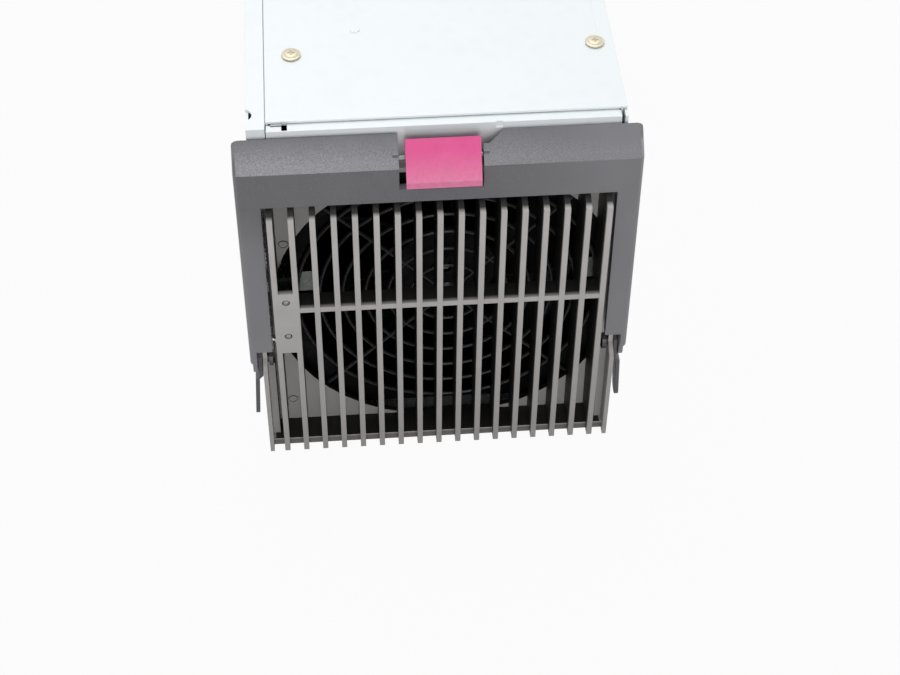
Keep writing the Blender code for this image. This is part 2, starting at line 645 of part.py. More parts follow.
def build_guard(black):
    """Concentric rings on four diagonal spokes that end in eyelets."""
    centre = (FAN_X, FAN_Z)
    reach = FAN_HOLE_SPACING / 2 * math.sqrt(2)
    rings = 6
    pitch = (FAN_BORE_RADIUS - 1.1) / (rings + 0.62)
    spokes = bmesh.new()
    for x, z in fan_corners():
        rod(FAN_SCREW_RADIUS + 2.2, GUARD_DEPTH - GUARD_WIRE, GUARD_DEPTH + GUARD_WIRE, "Y", (x, z), spokes,
            steps=12)
    for turn in (45, 135):
        bar = block(-reach + 1, reach - 1, GUARD_DEPTH - 0.6, GUARD_DEPTH + 0.6, -0.8, 0.8)
        bmesh.ops.rotate(bar, cent=(0, 0, 0), matrix=Matrix.Rotation(math.radians(turn), 3, "Y"),
                         verts=bar.verts[:])
        bmesh.ops.translate(bar, vec=(FAN_X, 0, FAN_Z), verts=bar.verts[:])
        merge(spokes, bar)
    guard = add_part("fan_guard", spokes, black)
    wires = bmesh.new()
    half = GUARD_WIRE * 0.9
    for i in range(rings):
        radius = pitch * (i + 1.62)
        section = [(radius - half, GUARD_DEPTH), (radius, GUARD_DEPTH - GUARD_WIRE),
                   (radius + half, GUARD_DEPTH),
                   (radius, GUARD_DEPTH + GUARD_WIRE)]
        turned(section, "Y", centre, wires, steps=24 if i < 3 else 30)
    hub_ring = [(0, GUARD_DEPTH - GUARD_WIRE), (5.2, GUARD_DEPTH - GUARD_WIRE),
                (5.2, GUARD_DEPTH + GUARD_WIRE),
                (0, GUARD_DEPTH + GUARD_WIRE)]
    turned(hub_ring, "Y", centre, wires, steps=16)
    carve(guard, wires, "UNION")
    holes = bmesh.new()
    for x, z in fan_corners():
        rod(FAN_SCREW_RADIUS + SEAT_GAP, GUARD_DEPTH - 2, GUARD_DEPTH + 2, "Y", (x, z), holes, steps=8)
    return carve(guard, holes)


def build_fan_frame(black):
    half = FAN_SIZE / 2
    centre = (FAN_X, FAN_Z)
    square = rounded_square(FAN_X, FAN_Z, half, half, 7.5, 3)
    frame = add_part("fan_frame", prism(square, FAN_FRONT, FAN_FRONT + FAN_FLANGE, "Y"), black)
    body = bmesh.new()
    prism(square, FAN_REAR - FAN_FLANGE, FAN_REAR, "Y", body)
    rod(FAN_BORE_RADIUS + 1.8, FAN_FRONT + 1, FAN_REAR - 1, "Y", centre, body, steps=48)
    carve(frame, body, "UNION")
    carve(frame, rod(FAN_BORE_RADIUS, FAN_FRONT - 1, FAN_REAR + 1, "Y", centre, steps=48))
    # Motor base on four struts at the rear, with the bearing tube
    spider = rod(HUB_RADIUS, FAN_REAR - 3.2, FAN_REAR - 0.2, "Y", centre, steps=24)
    rod(5.0, HUB_FRONT + 6, FAN_REAR - 1, "Y", centre, spider, steps=16)
    for turn in (20, 110, 200, 290):
        strut = block(HUB_RADIUS - 2, FAN_BORE_RADIUS + 0.8, FAN_REAR - 4.2, FAN_REAR - 0.4, -2.0, 2.0)
        bmesh.ops.rotate(strut, cent=(0, 0, 0), matrix=Matrix.Rotation(math.radians(turn), 3, "Y"),
                         verts=strut.verts[:])
        bmesh.ops.translate(strut, vec=(FAN_X, 0, FAN_Z), verts=strut.verts[:])
        merge(spider, strut)
    carve(frame, spider, "UNION")
    holes = rod(4.0, HUB_FRONT + 5, FAN_REAR - 1.6, "Y", centre, steps=16)
    for corner in fan_corners():
        rod(FAN_SCREW_RADIUS + SEAT_GAP, FAN_FRONT - 1, FAN_FRONT + FAN_FLANGE + 1, "Y", corner, holes,
            steps=8)
        rod(FAN_SCREW_RADIUS + SEAT_GAP, FAN_REAR - FAN_FLANGE - 1, FAN_REAR + 1, "Y", corner, holes,
            steps=8)
    return carve(frame, holes)


def build_fan_screws(zinc):
    seat = FAN_FRONT + FAN_FLANGE + SEAT_GAP
    for number, corner in enumerate(fan_corners(), 1):
        profile = [(0, PLATE_DEPTH + 0.7), (FAN_SCREW_RADIUS, PLATE_DEPTH + 0.7), (FAN_SCREW_RADIUS, seat),
                   (3.4, seat), (2.8, seat + 2.2), (0, seat + 2.2)]
        add_part(f"fan_screw_{number}", turned(profile, "Y", corner, steps=10), zinc)


def build_clips(spring_steel):
    """Bright spring clips at mid height, hooked on the bore's edge."""
    depth = FAN_FRONT + 0.4
    for side, name in ((-1, "fan_clip_left"), (1, "fan_clip_right")):
        outer = FAN_X + side * (FAN_BORE_RADIUS - 2.0)
        inner = FAN_X + side * (FAN_BORE_RADIUS - 8.2)
        angle = [(inner, depth), (outer, depth), (outer, depth + 3.0), (outer - side * 0.8, depth + 3.0),
                 (outer - side * 0.8, depth + 0.8), (inner, depth + 0.8)]
        add_part(name, prism(angle, FAN_Z + 2.6, FAN_Z + 12.6, "Z"), spring_steel)


def build_rotor(black, dark_steel, steel):
    axis = add_axis("fan_axis", FAN_X, HUB_FRONT, FAN_Z)
    centre = (FAN_X, FAN_Z)
    cup_end = FAN_REAR - 4.6
    inner = HUB_RADIUS - HUB_WALL
    cup = [(0, HUB_FRONT), (HUB_RADIUS - 2.5, HUB_FRONT), (HUB_RADIUS, HUB_FRONT + 2.5),
           (HUB_RADIUS, cup_end),
           (inner, cup_end), (inner, HUB_FRONT + HUB_WALL), (4.5, HUB_FRONT + HUB_WALL),
           (4.5, HUB_FRONT + 5),
           (0, HUB_FRONT + 5)]
    impeller = add_part("fan_impeller", turned(cup, "Y", centre, steps=32), black, axis)
    carve(impeller, build_blades(), "UNION")
    carve(impeller, rod(1.9, HUB_FRONT + 1.2, HUB_FRONT + 7, "Y", centre, steps=12))
    magnet = [(inner - 2.3, HUB_FRONT + 4), (inner - SEAT_GAP, HUB_FRONT + 4),
              (inner - SEAT_GAP, cup_end - 1),
              (inner - 2.3, cup_end - 1)]
    add_part("fan_magnet_ring", turned(magnet, "Y", centre, steps=20), dark_steel, axis)
    add_part("fan_shaft", rod(1.6, HUB_FRONT + 1.5, FAN_REAR - 2.2, "Y", centre, steps=12), steel, axis)
    return impeller


def build_blades():
    """Swept blades whose pitch eases from root to tip. Each is a closed skin over five stations."""
    blades = bmesh.new()
    stations = 5
    chord_points = 4
    root = HUB_RADIUS - 1.0
    tip = FAN_BORE_RADIUS - BLADE_TIP_GAP
    middle = HUB_FRONT + 3.5 + BLADE_DEPTH / 2
    for number in range(BLADE_COUNT):
        rings = []
        for i in range(stations):
            share = i / (stations - 1)
            radius = root + (tip - root) * share
            pitch = math.radians(48 - 20 * share)
            chord = BLADE_DEPTH / math.sin(math.radians(48)) * (1 + 0.35 * share)
            thickness = 1.9 - 0.8 * share
            lead = math.radians(number * 360 / BLADE_COUNT + 18 * share * share)
            ring = []
            for side in (1, -1):
                steps = range(chord_points) if side > 0 else range(chord_points - 1, -1, -1)
                for j in steps:
                    along = j / (chord_points - 1) - 0.5
                    half = side * thickness / 2 * (1.05 - abs(along) * 1.5)
                    camber = 1.6 * (1 - 4 * along * along)
                    axial = along * chord * math.sin(pitch) + (half + camber) * math.cos(pitch)
                    round_way = along * chord * math.cos(pitch) - (half + camber) * math.sin(pitch)
                    angle = lead + round_way / radius
                    ring.append(blades.verts.new((FAN_X + radius * math.cos(angle), middle + axial,
                                                  FAN_Z + radius * math.sin(angle))))
            rings.append(ring)
        for first, second in zip(rings, rings[1:]):
            count = len(first)
            for j in range(count):
                k = (j + 1) % count
                blades.faces.new((first[j], first[k], second[k], second[j]))
        # Each end is closed by a strip across the blade's thickness, which follows its curve
        for ring in (rings[0], rings[-1]):
            for j in range(chord_points - 1):
                blades.faces.new((ring[j], ring[j + 1], ring[-j - 2], ring[-j - 1]))
    bmesh.ops.triangulate(blades, faces=blades.faces[:])
    return blades


def build_motor(copper, dark_steel):
    centre = (FAN_X, FAN_Z)
    outer = HUB_RADIUS - HUB_WALL - 2.3 - 0.8
    front = HUB_FRONT + 10
    rear = FAN_REAR - 8
    core = turned([(5.3, front), (9.0, front), (9.0, rear), (5.3, rear)], "Y", centre, steps=16)
    stator = add_part("fan_stator", core, copper)
    poles = bmesh.new()
    for turn in (0, 90, 180, 270):
        pole = block(8.0, outer - 1.0, front + 2, rear - 2, -3.4, 3.4)
        block(outer - 1.6, outer - 0.2, front + 3, rear - 3, -5.0, 5.0, pole)
        bmesh.ops.rotate(pole, cent=(0, 0, 0), matrix=Matrix.Rotation(math.radians(turn), 3, "Y"),
                         verts=pole.verts[:])
        bmesh.ops.translate(pole, vec=(FAN_X, 0, FAN_Z), verts=pole.verts[:])
        merge(poles, pole)
    carve(stator, poles, "UNION")
    for name, start in (("fan_bearing_front", HUB_FRONT + 7), ("fan_bearing_rear", FAN_REAR - 8.5)):
        ring = turned([(1.9, start), (3.7, start), (3.7, start + 4), (1.9, start + 4)], "Y", centre,
                      steps=12)
        add_part(name, ring, dark_steel)


def build_fan_lead(black):
    """The fan's lead, from the motor base along a strut, round the frame and down to the main board."""
    angle = math.radians(200)
    hub = (FAN_X + 12 * math.cos(angle), FAN_Z - 12 * math.sin(angle))
    rim = (FAN_X + 50 * math.cos(angle), FAN_Z - 50 * math.sin(angle))
    foot = bulk_places()[0][0] - (BULK_RADIUS - 1.7) * STAGE_SHARE
    depth = FAN_REAR + 1.4
    route = [(hub[0], depth, hub[1]), ((hub[0] + rim[0]) / 2, depth, (hub[1] + rim[1]) / 2),
             (rim[0], depth, rim[1]),
             (rim[0] - 3, depth + 2, rim[1] - 16), (foot - 6, depth + 5, 40),
             (foot - 1, BOARD_FRONT + 5, 24),
             (foot, BOARD_FRONT + 6, PART_SEAT + 6), (foot, BOARD_FRONT + 6, PART_SEAT + 0.2)]
    return add_lead("fan_lead", route, 1.1, black)


# Handle and latch

def build_handle(charcoal):
    hinge = add_axis("handle_hinge", 0, PIVOT_DEPTH, PIVOT_HEIGHT)
    rear_top = FOLD_Z + SLOPE_RISE
    outer_end = PIVOT_HEIGHT + 4.1
    outline = [(0, outer_end), (ARM_DEPTH, outer_end), (ARM_DEPTH, FOLD_Z), (SLOPE_RUN, rear_top),
               (0, FOLD_Z)]
    form = prism(outline, -HANDLE_HALF, HANDLE_HALF, "X")
    ends = [edge for edge in form.edges if is_outer_edge(edge)]
    bmesh.ops.bevel(form, geom=ends, offset=2.4, segments=3, profile=0.5, affect="EDGES", material=-1)
    handle = add_part("handle_frame", form, charcoal, hinge)
    # Hollow behind the face and the slope, open to the rear
    slope = SLOPE_RISE / SLOPE_RUN
    drop = HANDLE_SKIN * math.sqrt(1 + slope * slope)
    inside = HANDLE_HALF - HANDLE_SKIN
    deep = ARM_DEPTH + 9
    hollow = [(HANDLE_FACE, outer_end - 9), (HANDLE_FACE, FOLD_Z + slope * HANDLE_FACE - drop),
              (deep, FOLD_Z + slope * deep - drop), (deep, outer_end - 9)]
    carve(handle, prism(hollow, -inside, inside, "X"))
    # Ears that carry the pins, and bosses and stiffening ribs behind the top bar
    extra = bmesh.new()
    for side in (-1, 1):
        ear = arc(PIVOT_DEPTH, PIVOT_HEIGHT, EAR_RADIUS, 180, 360, 12)
        ear = [(ARM_DEPTH - 0.2, outer_end + 14), (HANDLE_FACE - 1, outer_end + 14),
               (HANDLE_FACE - 1, outer_end + 0.5), (PIVOT_DEPTH - EAR_RADIUS, outer_end + 0.5)] + ear
        start = side * EAR_IN
        end = side * EAR_OUT
        prism(ear, min(start, end), max(start, end), "X", extra)
    for x0, x1 in latch_boss_spans():
        block(x0, x1, HANDLE_FACE - 0.6, LATCH_PIVOT_DEPTH + 2.4, LATCH_PIVOT_Z - 2.6, LATCH_PIVOT_Z + 4.0,
              extra)
    for x in (-0.78 * WINDOW_HALF, -0.5 * WINDOW_HALF, 0.52 * WINDOW_HALF, 0.78 * WINDOW_HALF):
        rib = [(HANDLE_FACE - 0.5, FOLD_Z - 1.6), (HANDLE_FACE + 3.0, FOLD_Z - 0.2),
               (HANDLE_FACE + 3.0, FOLD_Z + 5.4), (HANDLE_FACE - 0.5, FOLD_Z + 1.6)]
        prism(rib, x - 0.8, x + 0.8, "X", extra)
    carve(handle, extra, "UNION")
    cuts = block(-WINDOW_HALF, WINDOW_HALF, -5, deep, outer_end - 12, WINDOW_TOP)
    block(-HOUSING_HALF, HOUSING_HALF, BAR_SETBACK - 0.5, deep, FOLD_Z - 20, rear_top + 1, cuts)
    inner_end = outer_end + 6.9
    for side in (-1, 1):
        shelf = sorted((side * (WINDOW_HALF - 1), side * (inside - 0.05)))
        block(shelf[0], shelf[1], -5, deep, outer_end - 12, inner_end, cuts)
    block(LATCH_LEFT - LATCH_LEFT_GAP, LATCH_RIGHT + LATCH_RIGHT_GAP, -5, deep, FOLD_Z - NOTCH_HEIGHT,
          rear_top + 4, cuts)
    corner = LATCH_RIGHT + LATCH_RIGHT_GAP
    prism([(corner - 1, 5.2), (corner + 2, 5.2), (corner + 9, SLOPE_RUN + 1), (corner - 1, SLOPE_RUN + 1)],
          FOLD_Z + 2, rear_top + 4, "Z", cuts)
    carve(handle, cuts)
    pins = bmesh.new()
    for side in (-1, 1):
        span = sorted((side * (EAR_IN - 2), side * (HANDLE_HALF + 2)))
        rod(PIVOT_RADIUS + SEAT_GAP, span[0], span[1], "X", (PIVOT_DEPTH, PIVOT_HEIGHT), pins, steps=16)
        rod(1.2, span[0], span[1], "X", lever_rivet_place(), pins, steps=12)
    first, last = latch_boss_spans()
    rod(LATCH_PIN_RADIUS + SEAT_GAP, first[0] - 1, last[1] + 1, "X", (LATCH_PIVOT_DEPTH, LATCH_PIVOT_Z),
        pins, steps=16)
    carve(handle, pins)
    build_levers(charcoal, hinge)
    return hinge


def is_outer_edge(edge):
    """Edges at the ends of the handle's face and slope."""
    ends = [vert.co for vert in edge.verts]
    at_side = all(abs(abs(point.x) - HANDLE_HALF) < 0.01 for point in ends)
    in_front = all(point.y < SLOPE_RUN + 0.01 and point.z > PIVOT_HEIGHT + 4 for point in ends)
    level = abs(ends[0].z - ends[1].z) < 0.01
    return at_side and in_front and not level


def latch_boss_spans():
    left = LATCH_LEFT - LATCH_LEFT_GAP
    right = LATCH_RIGHT + LATCH_RIGHT_GAP
    return ((left - 2.0, left), (right, right + 2.0))


def lever_rivet_place():
    return (PIVOT_DEPTH - 0.2, PIVOT_HEIGHT - 4.0)


def build_levers(charcoal, hinge):
    """Cam levers: plates riveted to the ears from inside, stepped out below them, with flared round ends."""
    top = PIVOT_HEIGHT + 4.1 - SEAT_GAP
    low = PIVOT_HEIGHT - LEVER_REACH
    knee = PIVOT_HEIGHT - EAR_RADIUS - 0.6
    middle = PIVOT_DEPTH + 1.2
    tip = 3.2
    flare = HANDLE_HALF - LEVER_IN - LEVER_THICKNESS
    for side, name in ((-1, "left_cam_lever"), (1, "right_cam_lever")):
        inner = [(LEVER_IN, top), (LEVER_IN, knee), (LEVER_IN + LEVER_STEP, knee - 1.8),
                 (LEVER_IN + flare, low)]
        outer = [(x + LEVER_THICKNESS, z) for x, z in reversed(inner)]
        strip = [(side * x, z) for x, z in inner + outer]
        lever = add_part(name, prism(strip, PIVOT_DEPTH - 10, PIVOT_DEPTH + 10, "Y"), charcoal, hinge)
        edge = [(PIVOT_DEPTH - 4.2, top + 1), (PIVOT_DEPTH - 4.2, knee), (middle - tip, low + tip)]
        edge += arc(middle, low + tip, tip, 180, 360, 8)[1:-1]
        edge += [(middle + tip, low + tip), (PIVOT_DEPTH + 5.0, knee), (PIVOT_DEPTH + 5.0, top + 1)]
        span = sorted((side * (LEVER_IN - 2), side * (HANDLE_HALF + 2)))
        carve(lever, prism(edge, span[0], span[1], "X"), "INTERSECT")
        rivet = sorted((side * (LEVER_IN + LEVER_THICKNESS / 2), side * (EAR_OUT - 0.2)))
        carve(lever, rod(0.9, rivet[0], rivet[1], "X", lever_rivet_place(), steps=12), "UNION")
        hole = sorted((side * (LEVER_IN - 2), side * (LEVER_IN + LEVER_THICKNESS + 0.1)))
        carve(lever, rod(PIVOT_RADIUS + SEAT_GAP, hole[0], hole[1], "X", (PIVOT_DEPTH, PIVOT_HEIGHT),
                         steps=16))


def build_pivot_pins(steel):
    """Headed pins, fixed in the housing's side walls, that the handle turns on."""
    head_out = HOUSING_HALF - SIDE_WALL - 0.5 - SEAT_GAP
    reach = HANDLE_HALF - 0.2
    for side, name in ((-1, "pivot_pin_left"), (1, "pivot_pin_right")):
        profile = [(0, side * (head_out - 1.4)), (PIVOT_RADIUS + 1.4, side * (head_out - 1.4)),
                   (PIVOT_RADIUS + 1.4, side * head_out), (PIVOT_RADIUS, side * head_out),
                   (PIVOT_RADIUS, side * reach), (0, side * reach)]
        add_part(name, turned(profile, "X", (PIVOT_DEPTH, PIVOT_HEIGHT), steps=16), steel)


def build_latch(magenta, steel, hinge):
    pivot = add_axis("latch_hinge", LATCH_CENTRE, LATCH_PIVOT_DEPTH, LATCH_PIVOT_Z, hinge)
    top_depth = 6.3
    top_z = FOLD_Z + 8.2
    low_depth = -2.6
    low_z = FOLD_Z - 4.4
    lip = 2.6
    outline = [(top_depth, top_z), (low_depth, low_z), (low_depth, low_z - lip),
               (low_depth + 1.6, low_z - lip),
               (low_depth + 2.2, low_z - 0.6), (top_depth + 1.2, top_z - 2.1)]
    form = prism(outline, LATCH_LEFT, LATCH_RIGHT, "X")
    latch = add_part("release_latch", form, magenta, pivot)
    under = bmesh.new()
    lug = [(LATCH_PIVOT_DEPTH + 2.4, LATCH_PIVOT_Z - 1.4), (LATCH_PIVOT_DEPTH + 2.4, top_z - 4.0),
           (top_depth, top_z - 1.6), (0.6, low_z + 3.2), (1.6, low_z + 1.0),
           (LATCH_PIVOT_DEPTH - 1.4, LATCH_PIVOT_Z - 2.4),
           (LATCH_PIVOT_DEPTH + 1.0, LATCH_PIVOT_Z - 2.4)]
    for x0, x1 in latch_lug_spans():
        prism(lug, x0, x1, "X", under)
    hook_end = BAR_SETBACK + STEEL + 3.2
    web = LATCH_PIVOT_DEPTH + 2.15
    hook = [(web + 0.1, LATCH_PIVOT_Z + 0.2), (hook_end, LATCH_PIVOT_Z + 0.2),
            (hook_end, LATCH_PIVOT_Z + 1.6),
            (hook_end - 1.4, LATCH_PIVOT_Z + 2.2), (web + 0.1, LATCH_PIVOT_Z + 2.2)]
    prism(hook, LATCH_CENTRE - HOOK_WIDTH / 2, LATCH_CENTRE + HOOK_WIDTH / 2, "X", under)
    block(LATCH_LEFT + 1.2, LATCH_RIGHT - 1.2, web, web + 0.75, LATCH_PIVOT_Z + 0.1, top_z - 4.2, under)
    carve(latch, under, "UNION")
    bore = rod(LATCH_PIN_RADIUS + SEAT_GAP, LATCH_LEFT - 1, LATCH_RIGHT + 1, "X",
               (LATCH_PIVOT_DEPTH, LATCH_PIVOT_Z), steps=12)
    carve(latch, bore)
    first, last = latch_boss_spans()
    pin = rod(LATCH_PIN_RADIUS, first[0] + 0.2, last[1] - 0.2, "X", (LATCH_PIVOT_DEPTH, LATCH_PIVOT_Z),
              steps=12)
    add_part("latch_pin", pin, steel, hinge)
    build_latch_spring(steel, hinge)


def latch_lug_spans():
    return ((LATCH_LEFT + 0.8, LATCH_LEFT + 4.6), (LATCH_RIGHT - 4.6, LATCH_RIGHT - 0.8))


def build_latch_spring(steel, hinge):
    """Torsion spring of four turns round the latch pin, with a leg on the handle's face."""
    turns = 3
    wire = 0.3
    radius = LATCH_PIN_RADIUS + 0.25 + wire
    start_x = latch_lug_spans()[0][1] + 1.0
    points = []
    steps = 10
    for i in range(turns * steps + 1):
        angle = 2 * math.pi * i / steps - math.pi / 2
        points.append((start_x + i / steps * (2 * wire + 0.35), LATCH_PIVOT_DEPTH + radius * math.cos(angle),
                       LATCH_PIVOT_Z + radius * math.sin(angle)))
    tail_x, _, _ = points[-1]
    points += [(tail_x + 0.3, HANDLE_FACE + 1.2, LATCH_PIVOT_Z - radius - 0.5),
               (tail_x + 0.3, HANDLE_FACE + 0.75, FOLD_Z - NOTCH_HEIGHT - 2.6)]
    curve = bpy.data.curves.new("latch_spring", "CURVE")
    curve.dimensions = "3D"
    curve.bevel_depth = wire * MM
    curve.bevel_resolution = 1
    curve.use_fill_caps = True
    spline = curve.splines.new("POLY")
    spline.points.add(len(points) - 1)
    for slot, point in zip(spline.points, points):
        slot.co = (*(Vector(point) * MM), 1.0)
    spring = bpy.data.objects.new("latch_spring", curve)
    spring.location.y = FRONT_Y * MM
    spring.parent = hinge
    spring.matrix_parent_inverse = hinge.matrix_world.inverted()
    curve.materials.append(steel)
    bpy.context.collection.objects.link(spring)


# Boards and the power stage

def standoff_places():
    xs = (-BOARD_HALF + 4, BOARD_HALF - 4)
    depths = (BOARD_FRONT + 7, BOARD_REAR - 59.6, BOARD_REAR - 10)
    return [(x, depth) for x in xs for depth in depths]


def build_boards(green, film):
    """The main board with its screws and small output capacitors soldered on, over an insulating sheet."""
    sheet = add_part("insulation_sheet", block(-BOARD_HALF, BOARD_HALF, BOARD_FRONT, BOARD_REAR,
                                               STEEL + SEAT_GAP, STEEL + SEAT_GAP + 0.4), film)
    board = add_part("main_board", block(-BOARD_HALF, BOARD_HALF, BOARD_FRONT, BOARD_REAR,
                                         BOARD_BOTTOM, BOARD_TOP), green)
    sheet_cuts = bmesh.new()
    fixed = bmesh.new()
    for place in standoff_places():
        rod(3.4, 0, STEEL + 2, "Z", place, sheet_cuts, steps=8)
        rod(2.8, BOARD_TOP - 0.3, BOARD_TOP + 2.1, "Z", place, fixed, steps=8, end_radius=2.2)
        rod(BOARD_SCREW_RADIUS, BOARD_BOTTOM - 3.6, BOARD_BOTTOM + 0.4, "Z", place, fixed, steps=8)
    for i in range(3):
        for j in range(2):
            place = (stage_x(76.5 + 11.5 * j), BOARD_FRONT + 118 + 11.5 * i)
            rod(5.0 * STAGE_SHARE, BOARD_TOP - 0.3, BOARD_TOP + 24, "Z", place, fixed, steps=10)
    carve(sheet, sheet_cuts)
    return carve(board, fixed, "UNION")


def stage_x(offset):
    """A place across the board. The parts draw together where a narrower case leaves less room."""
    return -BOARD_HALF + offset * STAGE_SHARE


def bulk_places():
    return [(stage_x(42 + i * (2 * BULK_RADIUS + 2)), BOARD_FRONT + 22) for i in range(2)]


def build_sink(name, x, depth, base_side, aluminium):
    """An extruded heat sink: an upright base with fins to one side and four clamped packages on the other."""
    fin_reach = 12.0 * STAGE_SHARE
    base = 4.0 * STAGE_SHARE
    pitch = SINK_LENGTH / SINK_FINS
    thickness = 1.6
    outline = [(x, depth), (x + base_side * base, depth), (x + base_side * base, depth + SINK_LENGTH),
               (x, depth + SINK_LENGTH)]
    for i in range(SINK_FINS - 1, -1, -1):
        start = depth + i * pitch + pitch / 2
        outline += [(x, start + thickness / 2), (x - base_side * fin_reach, start + thickness / 2),
                    (x - base_side * fin_reach, start - thickness / 2), (x, start - thickness / 2)]
    sink = add_part(name, prism(outline, PART_SEAT, PART_SEAT + SINK_HEIGHT, "Z"), aluminium)
    packages = bmesh.new()
    face = x + base_side * base
    step = SINK_LENGTH / 4
    for i in range(4):
        middle = depth + (i + 0.5) * step
        span = sorted((face - base_side * 0.5, face + base_side * 4.4 * STAGE_SHARE))
        block(span[0], span[1], middle - 7.8, middle + 7.8, PART_SEAT + 18, PART_SEAT + 38, packages)
        leg = face + base_side * 2.2 * STAGE_SHARE
        for j in (-1, 0, 1):
            block(leg - 0.4, leg + 0.4, middle + 5.4 * j - 0.6, middle + 5.4 * j + 0.6, PART_SEAT,
                  PART_SEAT + 18.5, packages)
    return carve(sink, packages, "UNION")


def build_power_stage(finishes):
    """Parts of the mains side, the power stage and the outputs."""
    front = BOARD_FRONT
    sink_depth = BOARD_REAR - SINK_REAR_GAP - SINK_LENGTH
    build_sink("primary_heat_sink", stage_x(18), sink_depth, 1, finishes["aluminium"])
    build_sink("secondary_heat_sink", BOARD_HALF - 19 * STAGE_SHARE, sink_depth + 14, -1,
               finishes["aluminium"])

    # Bulk capacitors near the fan
    radius = BULK_RADIUS * STAGE_SHARE
    for number, place in enumerate(bulk_places(), 1):
        can = [(0, PART_SEAT), (radius, PART_SEAT), (radius, PART_SEAT + 3), (radius - 0.8, PART_SEAT + 4),
               (radius, PART_SEAT + 5), (radius, PART_SEAT + BULK_LENGTH - 1),
               (radius - 1, PART_SEAT + BULK_LENGTH), (0, PART_SEAT + BULK_LENGTH)]
        add_part(f"bulk_capacitor_{number}", turned(can, "Z", place, steps=20), finishes["can"])

    # Boost choke: a wound ring lying on the board
    add_choke("boost_choke", 15.0, 7.5, (stage_x(50.5), front + 72), finishes["copper"])
    for number, depth in ((1, front + 62), (2, front + 92)):
        add_choke(f"output_inductor_{number}", 6.0, 3.4, (stage_x(84.8), depth), finishes["copper"])

    # Transformer: a core with two windows, and its winding through them
    tx = stage_x(48)
    td = front + 122
    half = CORE_WIDTH / 2 * STAGE_SHARE
    core_top = PART_SEAT + 42
    core = add_part("transformer_core", block(tx - half, tx + half, td - 12, td + 12, PART_SEAT, core_top),
                    finishes["ferrite"])
    windows = bmesh.new()
    for side in (-1, 1):
        span = sorted((tx + side * 8, tx + side * (half - 5.5)))
        block(span[0], span[1], td - 14, td + 14, PART_SEAT + 6, core_top - 6, windows)
    carve(core, windows)
    low = PART_SEAT + 6 + SEAT_GAP
    high = core_top - 6 - SEAT_GAP
    reach = half - 5.5 - SEAT_GAP
    winding = add_part("transformer_winding", prism(rounded_square(tx, td, reach, 19, 6, 4), low, high, "Z"),
                       finishes["tape"])
    carve(winding, block(tx - 8 - SEAT_GAP, tx + 8 + SEAT_GAP, td - 12 - SEAT_GAP, td + 12 + SEAT_GAP,
                         low - 1, high + 1))

    # Mains filter beside the inlet
    back = BOARD_REAR
    add_choke("filter_choke", 10.5, 5.0, (stage_x(25), back - 62), finishes["copper"])
    add_part("filter_capacitor", block(stage_x(41), stage_x(57), back - 60, back - 34, PART_SEAT,
                                       PART_SEAT + 20),
             finishes["film_can"])
    add_part("mains_relay", block(stage_x(44), stage_x(62), back - 77, back - 65, PART_SEAT, PART_SEAT + 16),
             finishes["package"])
    add_part("fuse", rod(3.1, back - 44, back - 24, "Y", (stage_x(5), PART_SEAT + 3.2), steps=16),
             finishes["ceramic"])


def add_choke(name, ring_radius, wire_radius, centre, surface):
    """A wound ring, lying flat on the board."""
    wire = wire_radius * STAGE_SHARE
    section = arc(ring_radius * STAGE_SHARE, PART_SEAT + wire, wire, 0, 360, 8)[:-1]
    return add_part(name, turned(section, "Z", centre, steps=16), surface)


def build_control_card(green):
    """Upright control card with its chips, beside the right wall."""
    x = BOARD_HALF - 2.4
    front = BOARD_FRONT + 14
    card = add_part("control_board",
                    block(x, x + 1.6, front, front + 84, PART_SEAT, PART_SEAT + CARD_HEIGHT), green)
    chips = bmesh.new()
    for depth, z, width, height in ((8, 14, 20, 14), (36, 12, 12, 12), (56, 20, 16, 10), (12, 40, 10, 8),
                                    (40, 38, 24, 12)):
        block(x - 2.2, x + 0.4, front + depth, front + depth + width, PART_SEAT + z, PART_SEAT + z + height,
              chips)
    return carve(card, chips, "UNION")


def build_inlet(black):
    """Mains inlet: a shroud with a chamfered mouth, three pins with tails to the board, and two screws."""
    x, z = inlet_centre()
    half_w = INLET_WIDTH / 2 - SEAT_GAP
    half_h = INLET_HEIGHT / 2 - SEAT_GAP
    deep = 17.0
    rim_back = CASE_REAR + SEAT_GAP + 2.4
    inlet = add_part("ac_inlet", block(x - half_w, x + half_w, CASE_REAR - deep, CASE_REAR + SEAT_GAP + 0.5,
                                       z - half_h, z + half_h), black)
    rim = block(x - half_w - 6, x + half_w + 6, CASE_REAR + SEAT_GAP, rim_back, z - half_h - 3,
                z + half_h + 3)
    for side in (-1, 1):
        rod(1.8, rim_back - 0.5, rim_back + 1.1, "Y", (x + side * (half_w + 3.3), z), rim, steps=12,
            end_radius=1.4)
    carve(inlet, rim, "UNION")
    mouth = [(x - half_w + 1.5, z - half_h + 1.5), (x + half_w - 1.5, z - half_h + 1.5),
             (x + half_w - 1.5, z + half_h - 5.5), (x + half_w - 5.5, z + half_h - 1.5),
             (x - half_w + 5.5, z + half_h - 1.5), (x - half_w + 1.5, z + half_h - 5.5)]
    carve(inlet, prism(mouth, CASE_REAR - deep + 2, CASE_REAR + 9, "Y"))
    pins = bmesh.new()
    for dx, dz in ((-7, 2), (7, 2), (0, -2)):
        block(x + dx - 1.0, x + dx + 1.0, CASE_REAR - deep - 4, CASE_REAR - 1.5, z + dz - 2.0, z + dz + 2.0,
              pins)
        block(x + dx - 0.9, x + dx + 0.9, CASE_REAR - deep - 3.9, CASE_REAR - deep - 2.4, PART_SEAT, z + dz,
              pins)
    return carve(inlet, pins, "UNION")


